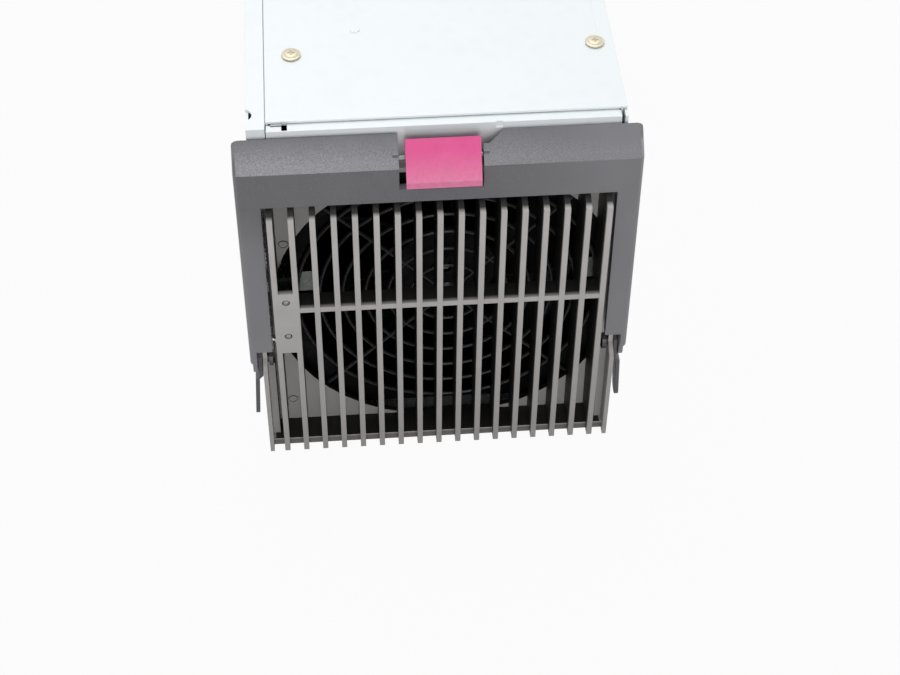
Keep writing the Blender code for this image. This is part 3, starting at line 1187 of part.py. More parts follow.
def build_output_connector(black, copper):
    """Blind-mate connector with a row of blade contacts in pockets, and the two bus bars that feed it."""
    x0, x1, _, z1 = connector_window()
    top = z1 - SEAT_GAP
    front = BOARD_REAR - 16
    connector = add_part("output_connector", block(x0 + SEAT_GAP, x1 - SEAT_GAP, front, CONNECTOR_END,
                                                   PART_SEAT, top),
                         black)
    blades = 8
    pitch = (x1 - x0 - 8) / blades
    middle = (PART_SEAT + top) / 2
    contacts = bmesh.new()
    pockets = bmesh.new()
    for i in range(blades):
        centre = x0 + 4 + pitch * (i + 0.5)
        block(centre - 1.7, centre + 1.7, CONNECTOR_END - 12, CONNECTOR_END + 1, middle - 6, middle + 6,
              pockets)
        block(centre - 0.6, centre + 0.6, CONNECTOR_END - 13, CONNECTOR_END - 1.5, middle - 4.0,
              middle + 4.0, contacts)
    carve(connector, pockets)
    carve(connector, contacts, "UNION")
    width = (x1 - x0) / 2 - 6
    bar_end = front - SEAT_GAP
    for name, low in (("bus_bar_positive", x0 + 2), ("bus_bar_return", x0 + 2 + (x1 - x0) / 2)):
        angle = [(bar_end - 40, PART_SEAT), (bar_end, PART_SEAT), (bar_end, middle + 4),
                 (bar_end - 2, middle + 4),
                 (bar_end - 2, PART_SEAT + 3), (bar_end - 40, PART_SEAT + 3)]
        add_part(name, prism(angle, low, low + width, "X"), copper)


def main():
    clear_scene()
    zinc = material("zinc_steel", (0.86, 0.9, 0.92), 0.35, 0.8)
    grey = material("grey_moulding", (0.34, 0.33, 0.32), 0.6)
    charcoal = material("charcoal_moulding", (0.19, 0.19, 0.2), 0.55)
    magenta = material("magenta_moulding", (0.78, 0.09, 0.24), 0.4)
    black = material("black_moulding", (0.02, 0.02, 0.022), 0.5)
    steel = material("bright_steel", (0.62, 0.62, 0.64), 0.3, 1.0)
    dark_steel = material("dark_steel", (0.2, 0.2, 0.21), 0.4, 1.0)
    brass = material("brass", (0.75, 0.6, 0.32), 0.35, 1.0)
    copper = material("copper", (0.72, 0.36, 0.18), 0.4, 1.0)
    green = material("board_green", (0.04, 0.2, 0.09), 0.5)
    package = material("chip_black", (0.03, 0.03, 0.035), 0.6)
    clear = material("clear_resin", (0.8, 0.85, 0.85), 0.15)
    foil = material("foil_braid", (0.7, 0.72, 0.74), 0.35, 1.0)
    film = material("insulating_film", (0.75, 0.7, 0.5), 0.5)
    finishes = {
        "aluminium": material("aluminium", (0.7, 0.71, 0.72), 0.4, 1.0),
        "package": package,
        "can": material("capacitor_sleeve", (0.03, 0.05, 0.16), 0.35),
        "ferrite": material("ferrite", (0.07, 0.07, 0.075), 0.7),
        "tape": material("winding_tape", (0.8, 0.62, 0.12), 0.5),
        "film_can": material("film_capacitor", (0.75, 0.6, 0.15), 0.5),
        "ceramic": material("ceramic", (0.85, 0.84, 0.8), 0.4),
        "copper": copper,
    }

    build_tray(zinc)
    build_front_bar(zinc)
    build_cover(zinc)
    build_cover_screws(brass)
    build_rear_panel(zinc)
    build_housing(grey)
    build_housing_screws(zinc)
    build_indicators(clear, green)
    build_led_lead(foil)
    build_guard(black)
    build_fan_frame(black)
    build_fan_screws(zinc)
    build_clips(steel)
    build_rotor(black, dark_steel, steel)
    build_motor(copper, dark_steel)
    build_fan_lead(black)
    hinge = build_handle(charcoal)
    build_pivot_pins(steel)
    build_latch(magenta, steel, hinge)
    build_boards(green, film)
    build_power_stage(finishes)
    build_control_card(green)
    build_inlet(black)
    build_output_connector(black, copper)


if __name__ == "__main__":
    main()
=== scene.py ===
"""Looks of a hot-plug power supply module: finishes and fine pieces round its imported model.

Everything is in metres, in the model's own frame: X across the front, Y from the handle to the rear
connectors, Z up. Each operator finishes one piece or one group of like pieces.
"""

import json
import math

import bmesh
import bpy
from mathutils import Euler, Matrix, Vector, noise


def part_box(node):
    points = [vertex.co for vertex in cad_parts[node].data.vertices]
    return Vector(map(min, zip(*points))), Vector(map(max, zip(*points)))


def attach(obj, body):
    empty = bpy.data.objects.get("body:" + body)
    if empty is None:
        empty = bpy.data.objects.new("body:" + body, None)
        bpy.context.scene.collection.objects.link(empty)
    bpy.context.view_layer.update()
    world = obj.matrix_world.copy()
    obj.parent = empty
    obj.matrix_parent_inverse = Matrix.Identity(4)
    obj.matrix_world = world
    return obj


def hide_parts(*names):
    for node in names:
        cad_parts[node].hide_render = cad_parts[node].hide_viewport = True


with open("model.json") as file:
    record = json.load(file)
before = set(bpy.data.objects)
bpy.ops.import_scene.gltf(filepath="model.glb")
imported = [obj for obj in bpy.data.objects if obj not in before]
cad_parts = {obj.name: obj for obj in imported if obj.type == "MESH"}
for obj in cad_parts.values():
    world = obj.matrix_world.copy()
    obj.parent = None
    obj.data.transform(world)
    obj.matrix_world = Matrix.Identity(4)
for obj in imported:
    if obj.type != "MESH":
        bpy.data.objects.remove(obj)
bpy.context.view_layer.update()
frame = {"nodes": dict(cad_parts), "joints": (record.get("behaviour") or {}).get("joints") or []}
MM = 0.001

# Points this close are one, faces this flat are one, and edges this sharp are shaded sharp
MERGE = 0.002 * MM
FLAT = math.radians(0.6)
SHARP = math.radians(50)

# Ridges in one unit of a wave texture whose scale is 1
WAVE_RIDGES = 3.183

# Places of the camera and the lamps, what the lamps point at, and the floor
CAMERA_PLACE = Vector((-38.3, -660.0, 589.9)) * MM
LAMP_TARGET = Vector((0.0, -0.1, 0.08))
OVERHEAD_PLACE = Vector((-0.3, 0.35, 2.0))
OVERHEAD_SIZE = 2.2
FRONT_PLACE = Vector((0.15, -2.0, 0.45))
FRONT_SIZE = 1.4
FLOOR_DROP = 0.3 * MM
FLOOR_GLOW = 0.95

# Specular level of the near-black plastics inside the fan opening
DARK_GLOSS = 0.15

# Finned front: lean of the fins, its wall, the face of its back web and the round bosses on the web
FIN_LEAN = 5.2 * MM
FIN_WALL = 2.6 * MM
WEB_FACE = -133.4 * MM
BOSS_PLACES = ((-56.7 * MM, 14.7 * MM), (-56.1 * MM, 98.0 * MM))
BOSS_RADIUS = 2.0 * MM
BOSS_RIM = 0.3 * MM
BOSS_DISH = 0.1 * MM

# Cover screws: washer, and the cross recess as shares of the head's radius
WASHER_THICKNESS = 1.1 * MM
SHANK_SHARE = 0.46
CROSS_HALF_WIDTH = 0.085
CROSS_REACH = 0.34
CROSS_DEPTH = 0.55 * MM

# Fan guard: outermost ring, corner eyelets, middle disc and the start of the first ring in ring pitches
GUARD_RADIUS = 56.9 * MM
EYELET_RADIUS = 3.2 * MM
EYELET_INSET = 4.0 * MM
DISC_RADIUS = 5.2 * MM
DISC_CHAMFER = 0.6 * MM
FIRST_RING = 1.62

# Fan rotor: hub, and the blades' depth, set-back, angles in degrees and curve
HUB_RADIUS = 21.5 * MM
BLADE_DEPTH = 18.0 * MM
BLADE_SETBACK = 3.5 * MM
BLADE_SINK = 1.0 * MM
ROOT_PITCH = 48
PITCH_LOSS = 20
SWEEP = 18
CAMBER = 1.6 * MM
TIP_WIDENING = 0.35

# Edge radii of the pieces that have no setting of their own
LENS_EDGE = 0.3 * MM
FAN_EDGE = 0.35 * MM
CLIP_EDGE = 0.12 * MM
ROTOR_EDGE = 0.25 * MM
LEVER_EDGE = 0.4 * MM
CONNECTOR_EDGE = 0.3 * MM

bl_info = {
    "name": "Power supply module looks",
    "version": (1, 0, 0),
    "blender": (4, 5, 0),
    "location": "3D View > Sidebar > Module",
    "description": "Finishes and fine pieces of a hot-plug power supply module",
    "category": "Object",
}


def tone(red, green, blue):
    """Linear colour of a shade written in 0 to 255."""
    shares = [value / 255 for value in (red, green, blue)]
    return tuple(s / 12.92 if s <= 0.04045 else ((s + 0.055) / 1.055) ** 2.4 for s in shares)


def shade(name, description, value):
    """A colour property."""
    return bpy.props.FloatVectorProperty(name=name, description=description, size=3, subtype="COLOR",
                                         min=0.0, max=1.0, default=value)


def length(name, description, millimetres):
    """A length property, given in millimetres and held in metres."""
    return bpy.props.FloatProperty(name=name, description=description, unit="LENGTH", min=0.0, precision=5,
                                   default=millimetres * MM)


# Settings that a user may change

class MouldingSettings(bpy.types.PropertyGroup):
    """Colours and edge radii of the moulded pieces."""
    fin_grey: shade("Fin grey", "Colour of the finned front moulding", tone(208, 205, 203))
    handle_grey: shade("Handle grey", "Colour of the handle and its levers", tone(114, 113, 117))
    latch_magenta: shade("Latch magenta", "Colour of the release latch", tone(255, 94, 163))
    black: shade("Black", "Colour of the fan and the connectors", tone(15, 15, 16))
    fin_edge: length("Fin edge", "Radius on the edges of the finned moulding", 0.32)
    handle_edge: length("Handle edge", "Radius on the edges of the handle", 0.6)
    latch_edge: length("Latch edge", "Radius on the edges of the latch", 0.75)


class MetalSettings(bpy.types.PropertyGroup):
    """Colours and edges of the sheet metal and the fasteners."""
    zinc: shade("Zinc", "Colour of the plated steel case", tone(240, 245, 247))
    brass: shade("Brass", "Colour of the cover screws", tone(228, 220, 196))
    bright: shade("Bright steel", "Colour of the pins, the clips and the spring", tone(150, 154, 150))
    pin: shade("Pin", "Colour of the pivot pins", tone(96, 96, 98))
    copper: shade("Copper", "Colour of bus bars and windings", tone(208, 128, 86))
    sheet_edge: length("Sheet edge", "Radius on the edges of the sheet metal", 0.16)


class FanSettings(bpy.types.PropertyGroup):
    """Sizes of the fan's guard and rotor."""
    wire: length("Guard wire", "Radius of the guard's wires", 0.78)
    rings: bpy.props.IntProperty(name="Guard rings", description="Wire rings round the guard's middle disc",
                                 default=6, min=1, max=12)
    blades: bpy.props.IntProperty(name="Blades", description="Number of fan blades", default=7, min=3, max=11)
    blade: length("Blade thickness", "Thickness of a blade", 1.4)


class StageSettings(bpy.types.PropertyGroup):
    """Camera, lamps and floor."""
    lens: bpy.props.FloatProperty(name="Lens", description="Focal length on a 36 mm sensor", unit="CAMERA",
                                  default=78.74, min=10.0, max=300.0)
    yaw: bpy.props.FloatProperty(name="Yaw", description="Turn of the camera to the right", unit="ROTATION",
                                 default=math.radians(4.72))
    drop: bpy.props.FloatProperty(name="Drop", description="How far the camera looks down", unit="ROTATION",
                                  default=math.radians(45.89))
    roll: bpy.props.FloatProperty(name="Roll", description="Lean of the camera", unit="ROTATION",
                                  default=math.radians(0.46))
    ambient: bpy.props.FloatProperty(name="Ambient", description="Light from all round", default=0.45,
                                     min=0.0)
    key: bpy.props.FloatProperty(name="Key", description="Power of the large lamp overhead", unit="POWER",
                                 default=20.0, min=0.0)
    fill: bpy.props.FloatProperty(name="Fill", description="Power of the lamp in front", unit="POWER",
                                  default=8.0, min=0.0)
    floor: length("Floor", "Side of the floor", 6000.0)


class ModuleLooks(bpy.types.PropertyGroup):
    """All settings of the module's looks."""
    moulding: bpy.props.PointerProperty(type=MouldingSettings, name="Mouldings", description="Moulded pieces")
    metal: bpy.props.PointerProperty(type=MetalSettings, name="Metal",
                                     description="Sheet metal and fasteners")
    fan: bpy.props.PointerProperty(type=FanSettings, name="Fan", description="Guard and rotor")
    stage: bpy.props.PointerProperty(type=StageSettings, name="Stage", description="Camera, lamps and floor")


def looks():
    return bpy.context.scene.module_looks


# Node helpers

def new_finish(name, colour, roughness, metallic=0.0):
    """A material, its shader, and the object coordinates that its patterns read."""
    finish = bpy.data.materials.new(name)
    finish.use_nodes = True
    shader = finish.node_tree.nodes["Principled BSDF"]
    shader.inputs["Base Color"].default_value = (*colour, 1.0)
    shader.inputs["Roughness"].default_value = roughness
    shader.inputs["Metallic"].default_value = metallic
    place = finish.node_tree.nodes.new("ShaderNodeTexCoord")
    return finish, shader, place.outputs["Object"]


def stretched(place, stretch):
    """Coordinates stretched along each axis, for grain that runs one way."""
    node = place.id_data.nodes.new("ShaderNodeMapping")
    node.inputs["Scale"].default_value = stretch
    place.id_data.links.new(place, node.inputs["Vector"])
    return node.outputs["Vector"]


def grain(place, cell, detail=2.0):
    """Soft noise with cells about so many millimetres across."""
    node = place.id_data.nodes.new("ShaderNodeTexNoise")
    node.inputs["Scale"].default_value = 1 / (cell * MM)
    node.inputs["Detail"].default_value = detail
    place.id_data.links.new(place, node.inputs["Vector"])
    return node.outputs["Fac"]


def cells(place, cell, feature="F1"):
    """Distances in a cell pattern with cells about so many millimetres across."""
    node = place.id_data.nodes.new("ShaderNodeTexVoronoi")
    node.feature = feature
    node.inputs["Scale"].default_value = 1 / (cell * MM)
    place.id_data.links.new(place, node.inputs["Vector"])
    return node.outputs["Distance"]


def bands(place, pitch, direction="X", distortion=0.0):
    """Parallel ridges so many millimetres apart."""
    node = place.id_data.nodes.new("ShaderNodeTexWave")
    node.bands_direction = direction
    node.inputs["Scale"].default_value = 1 / (pitch * MM) / WAVE_RIDGES
    node.inputs["Distortion"].default_value = distortion
    place.id_data.links.new(place, node.inputs["Vector"])
    return node.outputs["Fac"]


def mapped(value, from_low, from_high, to_low, to_high):
    """A value carried from one range to another and held there."""
    node = value.id_data.nodes.new("ShaderNodeMapRange")
    node.inputs["From Min"].default_value = from_low
    node.inputs["From Max"].default_value = from_high
    node.inputs["To Min"].default_value = to_low
    node.inputs["To Max"].default_value = to_high
    value.id_data.links.new(value, node.inputs["Value"])
    return node.outputs["Result"]


def ramp(value, low, low_colour, high, high_colour):
    """Two colours along a value."""
    node = value.id_data.nodes.new("ShaderNodeValToRGB")
    stops = node.color_ramp.elements
    stops[0].position = low
    stops[0].color = (*low_colour, 1.0)
    stops[1].position = high
    stops[1].color = (*high_colour, 1.0)
    value.id_data.links.new(value, node.inputs["Fac"])
    return node.outputs["Color"]


def layered(share, below, above):
    """One colour over another by a share."""
    node = share.id_data.nodes.new("ShaderNodeMix")
    node.data_type = "RGBA"
    links = share.id_data.links
    links.new(share, node.inputs["Factor"])
    links.new(below, node.inputs["A"])
    links.new(above, node.inputs["B"])
    return node.outputs["Result"]


def combined(first, second, operation="ADD"):
    """Two values through one Math operation."""
    node = first.id_data.nodes.new("ShaderNodeMath")
    node.operation = operation
    first.id_data.links.new(first, node.inputs[0])
    first.id_data.links.new(second, node.inputs[1])
    return node.outputs["Value"]


def product(first, *others):
    for other in others:
        first = combined(first, other, "MULTIPLY")
    return first


def most(first, *others):
    for other in others:
        first = combined(first, other, "MAXIMUM")
    return first


def magnitude(value):
    """A value without its sign."""
    node = value.id_data.nodes.new("ShaderNodeMath")
    node.operation = "ABSOLUTE"
    value.id_data.links.new(value, node.inputs[0])
    return node.outputs["Value"]


def along(vector, axis):
    """One part of a vector."""
    node = vector.id_data.nodes.new("ShaderNodeSeparateXYZ")
    vector.id_data.links.new(vector, node.inputs["Vector"])
    return node.outputs[axis]


def facing(place, axis):
    """How far the surface faces along an axis."""
    node = place.id_data.nodes.new("ShaderNodeNewGeometry")
    return along(node.outputs["Normal"], axis)


def painted(colour, place):
    """A plain colour as a socket."""
    return ramp(along(place, "X"), 0.0, colour, 1.0, colour)


def drive(value, shader, socket):
    value.id_data.links.new(value, shader.inputs[socket])


def relief(value, shader, depth, strength=1.0):
    """Bump of so many millimetres."""
    node = value.id_data.nodes.new("ShaderNodeBump")
    node.inputs["Distance"].default_value = depth * MM
    node.inputs["Strength"].default_value = strength
    value.id_data.links.new(value, node.inputs["Height"])
    value.id_data.links.new(node.outputs["Normal"], shader.inputs["Normal"])


def scaled_colour(colour, share):
    return tuple(min(1.0, part * share) for part in colour)


def shaded(value, colour, low, low_share, high, high_share):
    """A colour that goes from one share of itself to another along a value."""
    return ramp(value, low, scaled_colour(colour, low_share), high, scaled_colour(colour, high_share))


# Finishes

def spark_moulding(name, colour, roughness, gloss=0.5):
    """Plastic from a spark-eroded mould: fine grain and faint cloudiness."""
    finish, shader, place = new_finish(name, colour, roughness)
    shader.inputs["Specular IOR Level"].default_value = gloss
    fine = grain(place, 0.32, 3.0)
    cloud = grain(place, 14.0)
    drive(shaded(cloud, colour, 0.3, 0.95, 0.7, 1.05), shader, "Base Color")
    drive(mapped(fine, 0.3, 0.7, roughness - 0.07, roughness + 0.09), shader, "Roughness")
    relief(fine, shader, 0.03, 0.55)
    return finish


def handle_moulding(name, colour, arms=0.0):
    """Charcoal plastic with pale flecks, a painted sheen on its slope, a painted highlight along its fold,
    and paler arms and right end.
    """
    finish = spark_moulding(name, colour, 0.5)
    shader = finish.node_tree.nodes["Principled BSDF"]
    body = shader.inputs["Base Color"].links[0].from_socket
    place = finish.node_tree.nodes["Texture Coordinate"].outputs["Object"]
    low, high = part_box("handle_frame")
    across = along(place, "X")
    height = along(place, "Z")
    up = facing(place, "Z")
    # Painted sheen: the upward slope is painted paler and speckled, more at the left and less towards the top
    slope = mapped(up, 0.2, 0.36, 0.0, 1.0)
    side = mapped(across, -60 * MM, 50 * MM, 1.0, 0.5)
    fall = mapped(height, high.z - 7 * MM, high.z, 1.0, 0.2)
    sheen_specks = mapped(grain(place, 0.5, 3.0), 0.36, 0.66, 0.4, 1.0)
    slope_sheen = product(slope, side, fall, sheen_specks)
    sparse = mapped(grain(place, 0.42, 1.0), 0.64, 0.74, 0.0, 0.35)
    # Painted highlight along the fold between the slope and the face, right of the notch
    fold_start = mapped(up, 0.02, 0.08, 0.0, 1.0)
    fold_end = mapped(up, 0.28, 0.36, 1.0, 0.0)
    past_notch = mapped(across, 8 * MM, 14 * MM, 0.1, 1.0)
    fold_highlight = product(fold_start, fold_end, past_notch)
    low_end = mapped(height, high.z - 45 * MM, high.z - 25 * MM, arms, 0.0)
    right_end = mapped(across, 20 * MM, 60 * MM, 0.0, arms)
    pale = painted(scaled_colour(colour, 2.6), place)
    drive(layered(most(slope_sheen, sparse, fold_highlight, low_end, right_end), body, pale), shader, "Base Color")
    return finish


def latch_moulding(name, colour):
    """Magenta plastic with a painted sheen that makes it paler towards the lower edge, and painted shade on
    its faces turned to the back.
    """
    finish = satin_moulding(name, colour, 0.4)
    shader = finish.node_tree.nodes["Principled BSDF"]
    body = shader.inputs["Base Color"].links[0].from_socket
    place = finish.node_tree.nodes["Texture Coordinate"].outputs["Object"]
    low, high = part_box("release_latch")
    # Painted sheen: paler towards the lower edge, in soft patches
    painted_sheen = mapped(along(place, "Z"), high.z - 13 * MM, high.z - 4 * MM, 0.7, 0.0)
    sheen_mottle = mapped(grain(place, 1.2, 4.0), 0.3, 0.7, 0.6, 1.0)
    face = layered(product(painted_sheen, sheen_mottle), body, painted(tone(250, 165, 198), place))
    # Painted shade: the faces turned to the back are painted near black
    hidden = mapped(facing(place, "Y"), 0.2, 0.6, 0.0, 1.0)
    drive(layered(hidden, face, painted(scaled_colour(colour, 0.1), place)), shader, "Base Color")
    return finish


def fin_moulding(name, colour):
    """Grey plastic with painted shade on its deep inner faces and its floor, fronts darker towards the
    bottom, and its back web painted lighter.
    """
    finish = spark_moulding(name, colour, 0.5, 0.3)
    shader = finish.node_tree.nodes["Principled BSDF"]
    body = shader.inputs["Base Color"].links[0].from_socket
    place = finish.node_tree.nodes["Texture Coordinate"].outputs["Object"]
    low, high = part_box("grille_housing")
    depth = along(place, "Y")
    height = along(place, "Z")
    turned = mapped(facing(place, "Y"), -0.9, -0.5, 0.0, 1.0)
    forward = mapped(turned, 0.0, 1.0, 1.0, 0.0)
    fin_tip = low.y + FIN_LEAN
    upright = combined(depth, mapped(height, low.z, high.z, 0.0, FIN_LEAN))
    deep = mapped(upright, fin_tip + 0.2 * MM, fin_tip + 1.8 * MM, 0.0, 1.0)
    inner = mapped(magnitude(along(place, "X")), high.x - FIN_WALL, high.x - 0.8 * FIN_WALL, 1.0, 0.0)
    below = mapped(height, high.z - FIN_WALL, high.z - 0.8 * FIN_WALL, 1.0, 0.0)
    lower = mapped(height, low.z, high.z * 0.85, 0.5, 0.0)
    fronts = mapped(deep, 0.0, 1.0, 1.0, 0.0)
    toned = layered(product(lower, fronts), body, painted(scaled_colour(colour, 0.3), place))
    # Painted shade on the floor between the fins
    floor_shade = product(mapped(height, low.z + FIN_WALL, low.z + FIN_WALL + 0.6 * MM, 0.75, 0.0), deep)
    toned = layered(floor_shade, toned, painted(scaled_colour(colour, 0.1), place))
    # Painted light: the back web facing the front is painted half again lighter
    web = mapped(depth, WEB_FACE - 1.5 * MM, WEB_FACE - 0.5 * MM, 0.0, 1.0)
    toned = layered(product(web, forward), toned, painted(scaled_colour(colour, 1.5), place))
    # Painted shade on the deep inner faces between the fins
    painted_shade = painted(scaled_colour(colour, 0.06), place)
    drive(layered(product(deep, inner, below, turned), toned, painted_shade), shader, "Base Color")
    return finish


def satin_moulding(name, colour, roughness, gloss=0.5):
    """Smooth plastic with faint cloudiness and handling marks."""
    finish, shader, place = new_finish(name, colour, roughness)
    shader.inputs["Specular IOR Level"].default_value = gloss
    cloud = grain(place, 6.0, 3.0)
    drive(shaded(cloud, colour, 0.3, 0.92, 0.7, 1.06), shader, "Base Color")
    drive(mapped(grain(place, 2.2, 4.0), 0.35, 0.7, roughness - 0.08, roughness + 0.12), shader, "Roughness")
    relief(grain(place, 0.5, 2.0), shader, 0.012, 0.5)
    return finish


def plated_steel(name, colour):
    """Zinc-plated sheet: fine rolling grain along the case, soft spangle and cloudy gloss."""
    finish, shader, place = new_finish(name, colour, 0.45, 0.3)
    rolled = grain(stretched(place, (1.0, 0.03, 1.0)), 0.5, 3.0)
    spangle = cells(place, 7.0)
    cloud = grain(place, 22.0, 3.0)
    drive(shaded(combined(cloud, spangle), colour, 0.45, 0.975, 1.1, 1.0), shader, "Base Color")
    drive(mapped(combined(rolled, spangle), 0.5, 1.2, 0.4, 0.52), shader, "Roughness")
    relief(rolled, shader, 0.008, 0.5)
    return finish


def turned_metal(name, colour, roughness=0.3, metallic=1.0):
    """Machined metal with small marks."""
    finish, shader, place = new_finish(name, colour, roughness, metallic)
    marks = grain(place, 0.6, 4.0)
    drive(shaded(marks, colour, 0.3, 0.8, 0.7, 1.08), shader, "Base Color")
    drive(mapped(marks, 0.3, 0.75, roughness - 0.1, roughness + 0.18), shader, "Roughness")
    relief(grain(place, 0.25, 2.0), shader, 0.006, 0.5)
    return finish


def crumpled_foil(name, colour):
    """Wrapped foil with sharp creases."""
    finish, shader, place = new_finish(name, colour, 0.25, 0.7)
    creases = cells(place, 1.1)
    drive(shaded(creases, colour, 0.0, 0.72, 0.7, 1.0), shader, "Base Color")
    drive(mapped(creases, 0.1, 0.8, 0.14, 0.38), shader, "Roughness")
    relief(creases, shader, 0.12, 0.8)
    return finish


def enamelled_wire(name, colour, pitch, direction):
    """Wound enamelled wire seen as close ridges."""
    finish, shader, place = new_finish(name, colour, 0.3, 0.85)
    turns = bands(place, pitch, direction, 0.4)
    drive(shaded(turns, colour, 0.1, 0.35, 0.6, 1.0), shader, "Base Color")
    drive(mapped(turns, 0.0, 1.0, 0.45, 0.24), shader, "Roughness")
    relief(turns, shader, 0.3, 0.8)
    return finish


def solder_mask(name, colour):
    """Green board: mask over faint copper tracks, with small bright pads."""
    finish, shader, place = new_finish(name, colour, 0.35)
    tracks = bands(place, 5.0, "X", 6.0)
    pads = mapped(cells(place, 3.4), 0.1, 0.13, 1.0, 0.0)
    body = shaded(tracks, colour, 0.42, 0.7, 0.58, 1.45)
    tin = ramp(tracks, 0.0, (0.55, 0.55, 0.52), 1.0, (0.62, 0.62, 0.6))
    drive(layered(pads, body, tin), shader, "Base Color")
    drive(mapped(tracks, 0.3, 0.7, 0.3, 0.42), shader, "Roughness")
    relief(tracks, shader, 0.035, 0.6)
    return finish


def extruded_metal(name, colour):
    """Extruded aluminium with die lines along Z."""
    finish, shader, place = new_finish(name, colour, 0.38, 1.0)
    lines = grain(stretched(place, (1.0, 1.0, 0.02)), 0.35, 3.0)
    drive(shaded(lines, colour, 0.3, 0.86, 0.7, 1.05), shader, "Base Color")
    drive(mapped(lines, 0.3, 0.7, 0.3, 0.5), shader, "Roughness")
    relief(lines, shader, 0.01, 0.6)
    return finish


def clear_moulding(name, colour):
    """Clear resin of the light pipes, faintly cloudy."""
    finish, shader, place = new_finish(name, colour, 0.12)
    shader.inputs["Transmission Weight"].default_value = 0.55
    shader.inputs["IOR"].default_value = 1.49
    cloud = grain(place, 0.8)
    drive(shaded(cloud, colour, 0.3, 0.9, 0.7, 1.0), shader, "Base Color")
    drive(mapped(cloud, 0.3, 0.7, 0.08, 0.2), shader, "Roughness")
    return finish


def wrapped_film(name, colour, pitch):
    """Film or tape in overlapping bands up the piece."""
    finish, shader, place = new_finish(name, colour, 0.35)
    laps = bands(place, pitch, "Z", 0.6)
    drive(shaded(laps, colour, 0.05, 0.72, 0.35, 1.0), shader, "Base Color")
    drive(mapped(grain(place, 3.0), 0.3, 0.7, 0.26, 0.46), shader, "Roughness")
    relief(laps, shader, 0.08, 0.5)
    return finish


def sintered(name, colour, roughness):
    """Pressed powder: fine pits and a dull face."""
    finish, shader, place = new_finish(name, colour, roughness)
    pits = cells(place, 0.5)
    drive(shaded(grain(place, 4.0, 3.0), colour, 0.3, 0.8, 0.7, 1.3), shader, "Base Color")
    drive(mapped(pits, 0.0, 0.6, roughness + 0.1, roughness - 0.1), shader, "Roughness")
    relief(pits, shader, 0.04, 0.4)
    return finish


# Mesh helpers

def merged_copy(node):
    """A bmesh of a CAD node whose loose triangles are joined into whole flat faces."""
    form = bmesh.new()
    form.from_mesh(frame["nodes"][node].data)
    bmesh.ops.remove_doubles(form, verts=form.verts[:], dist=MERGE)
    bmesh.ops.dissolve_limit(form, angle_limit=FLAT, verts=form.verts[:], edges=form.edges[:])
    return form


def finish_piece(name, form, body, slot, finish, *nodes):
    """Makes a bmesh a piece that rides on a body, stands for CAD nodes and shows a finish."""
    mesh = bpy.data.meshes.new(name)
    form.to_mesh(mesh)
    form.free()
    mesh.shade_smooth()
    mesh.set_sharp_from_angle(angle=SHARP)
    mesh.materials.append(finish)
    piece = bpy.data.objects.new(name, mesh)
    bpy.context.scene.collection.objects.link(piece)
    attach(piece, body)
    if nodes:
        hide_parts(*nodes)
    return piece


def round_edges(piece, radius, segments=2, angle=30):
    """Rounds a piece's sharp edges with a Bevel modifier and keeps its wide faces evenly shaded."""
    step = piece.modifiers.new("rounded_edges", "BEVEL")
    step.width = radius
    step.segments = segments
    step.limit_method = "ANGLE"
    step.angle_limit = math.radians(angle)
    step.miter_outer = "MITER_ARC"
    step.use_clamp_overlap = True
    step.harden_normals = False
    step = piece.modifiers.new("even_shading", "WEIGHTED_NORMAL")
    step.keep_sharp = True
    step.weight = 90
    return piece


def paint_node(node, finish):
    """Gives a CAD node that stays a finish."""
    mesh = frame["nodes"][node].data
    if not mesh.materials:
        mesh.materials.append(finish)
    for place in range(len(mesh.materials)):
        mesh.materials[place] = finish


def fan_axis():
    spin = next(joint for joint in frame["joints"] if joint["name"] == "fan_spin")
    return Vector(spin["pos_m"])


def wire_ring(form, radius, wire, centre, steps):
    """A round wire ring that faces the front."""
    section = bmesh.ops.create_circle(form, segments=8, radius=wire,
                                      matrix=Matrix.Translation(centre + Vector((radius, 0, 0))))
    edges = {edge for vert in section["verts"] for edge in vert.link_edges}
    bmesh.ops.spin(form, geom=section["verts"] + list(edges), cent=centre, axis=(0, 1, 0),
                   angle=2 * math.pi, steps=steps, use_merge=True)


def straight_rod(form, start, end, radius, steps=10):
    """A rod between two points."""
    span = end - start
    turn = span.to_track_quat("Z", "Y").to_matrix().to_4x4()
    bmesh.ops.create_cone(form, cap_ends=True, segments=steps, radius1=radius, radius2=radius,
                          depth=span.length, matrix=Matrix.Translation((start + end) / 2) @ turn)


def spun(form, profile, centre, axis, steps=48):
    """Spins a profile of (radius, height) round an axis that starts at a centre."""
    turn = Vector(axis).to_track_quat("Z", "Y").to_matrix().to_4x4()
    place = Matrix.Translation(centre) @ turn
    verts = [form.verts.new(place @ Vector((radius, 0.0, height))) for radius, height in profile]
    edges = [form.edges.new(pair) for pair in zip(verts, verts[1:])]
    bmesh.ops.spin(form, geom=verts + edges, cent=centre, axis=axis, angle=2 * math.pi, steps=steps,
                   use_merge=True)


def close_up(form):
    """Merges a form's doubles and turns its faces outwards."""
    bmesh.ops.remove_doubles(form, verts=form.verts[:], dist=MERGE)
    bmesh.ops.dissolve_degenerate(form, edges=form.edges[:], dist=MERGE / 4)
    bmesh.ops.recalc_face_normals(form, faces=form.faces[:])
    return form


# Operators

class SUPPLY_OT_stage(bpy.types.Operator):
    """Sets the camera, the lamps, the pale floor and the white surroundings"""
    bl_idname = "supply.stage"
    bl_label = "Stage"

    def execute(self, context):
        settings = looks().stage
        set_camera(settings)
        set_world(settings)
        lamp("overhead_lamp", settings.key, OVERHEAD_SIZE, OVERHEAD_PLACE)
        lamp("front_lamp", settings.fill, FRONT_SIZE, FRONT_PLACE)
        lay_floor(settings)
        context.scene.view_settings.view_transform = "Standard"
        return {"FINISHED"}


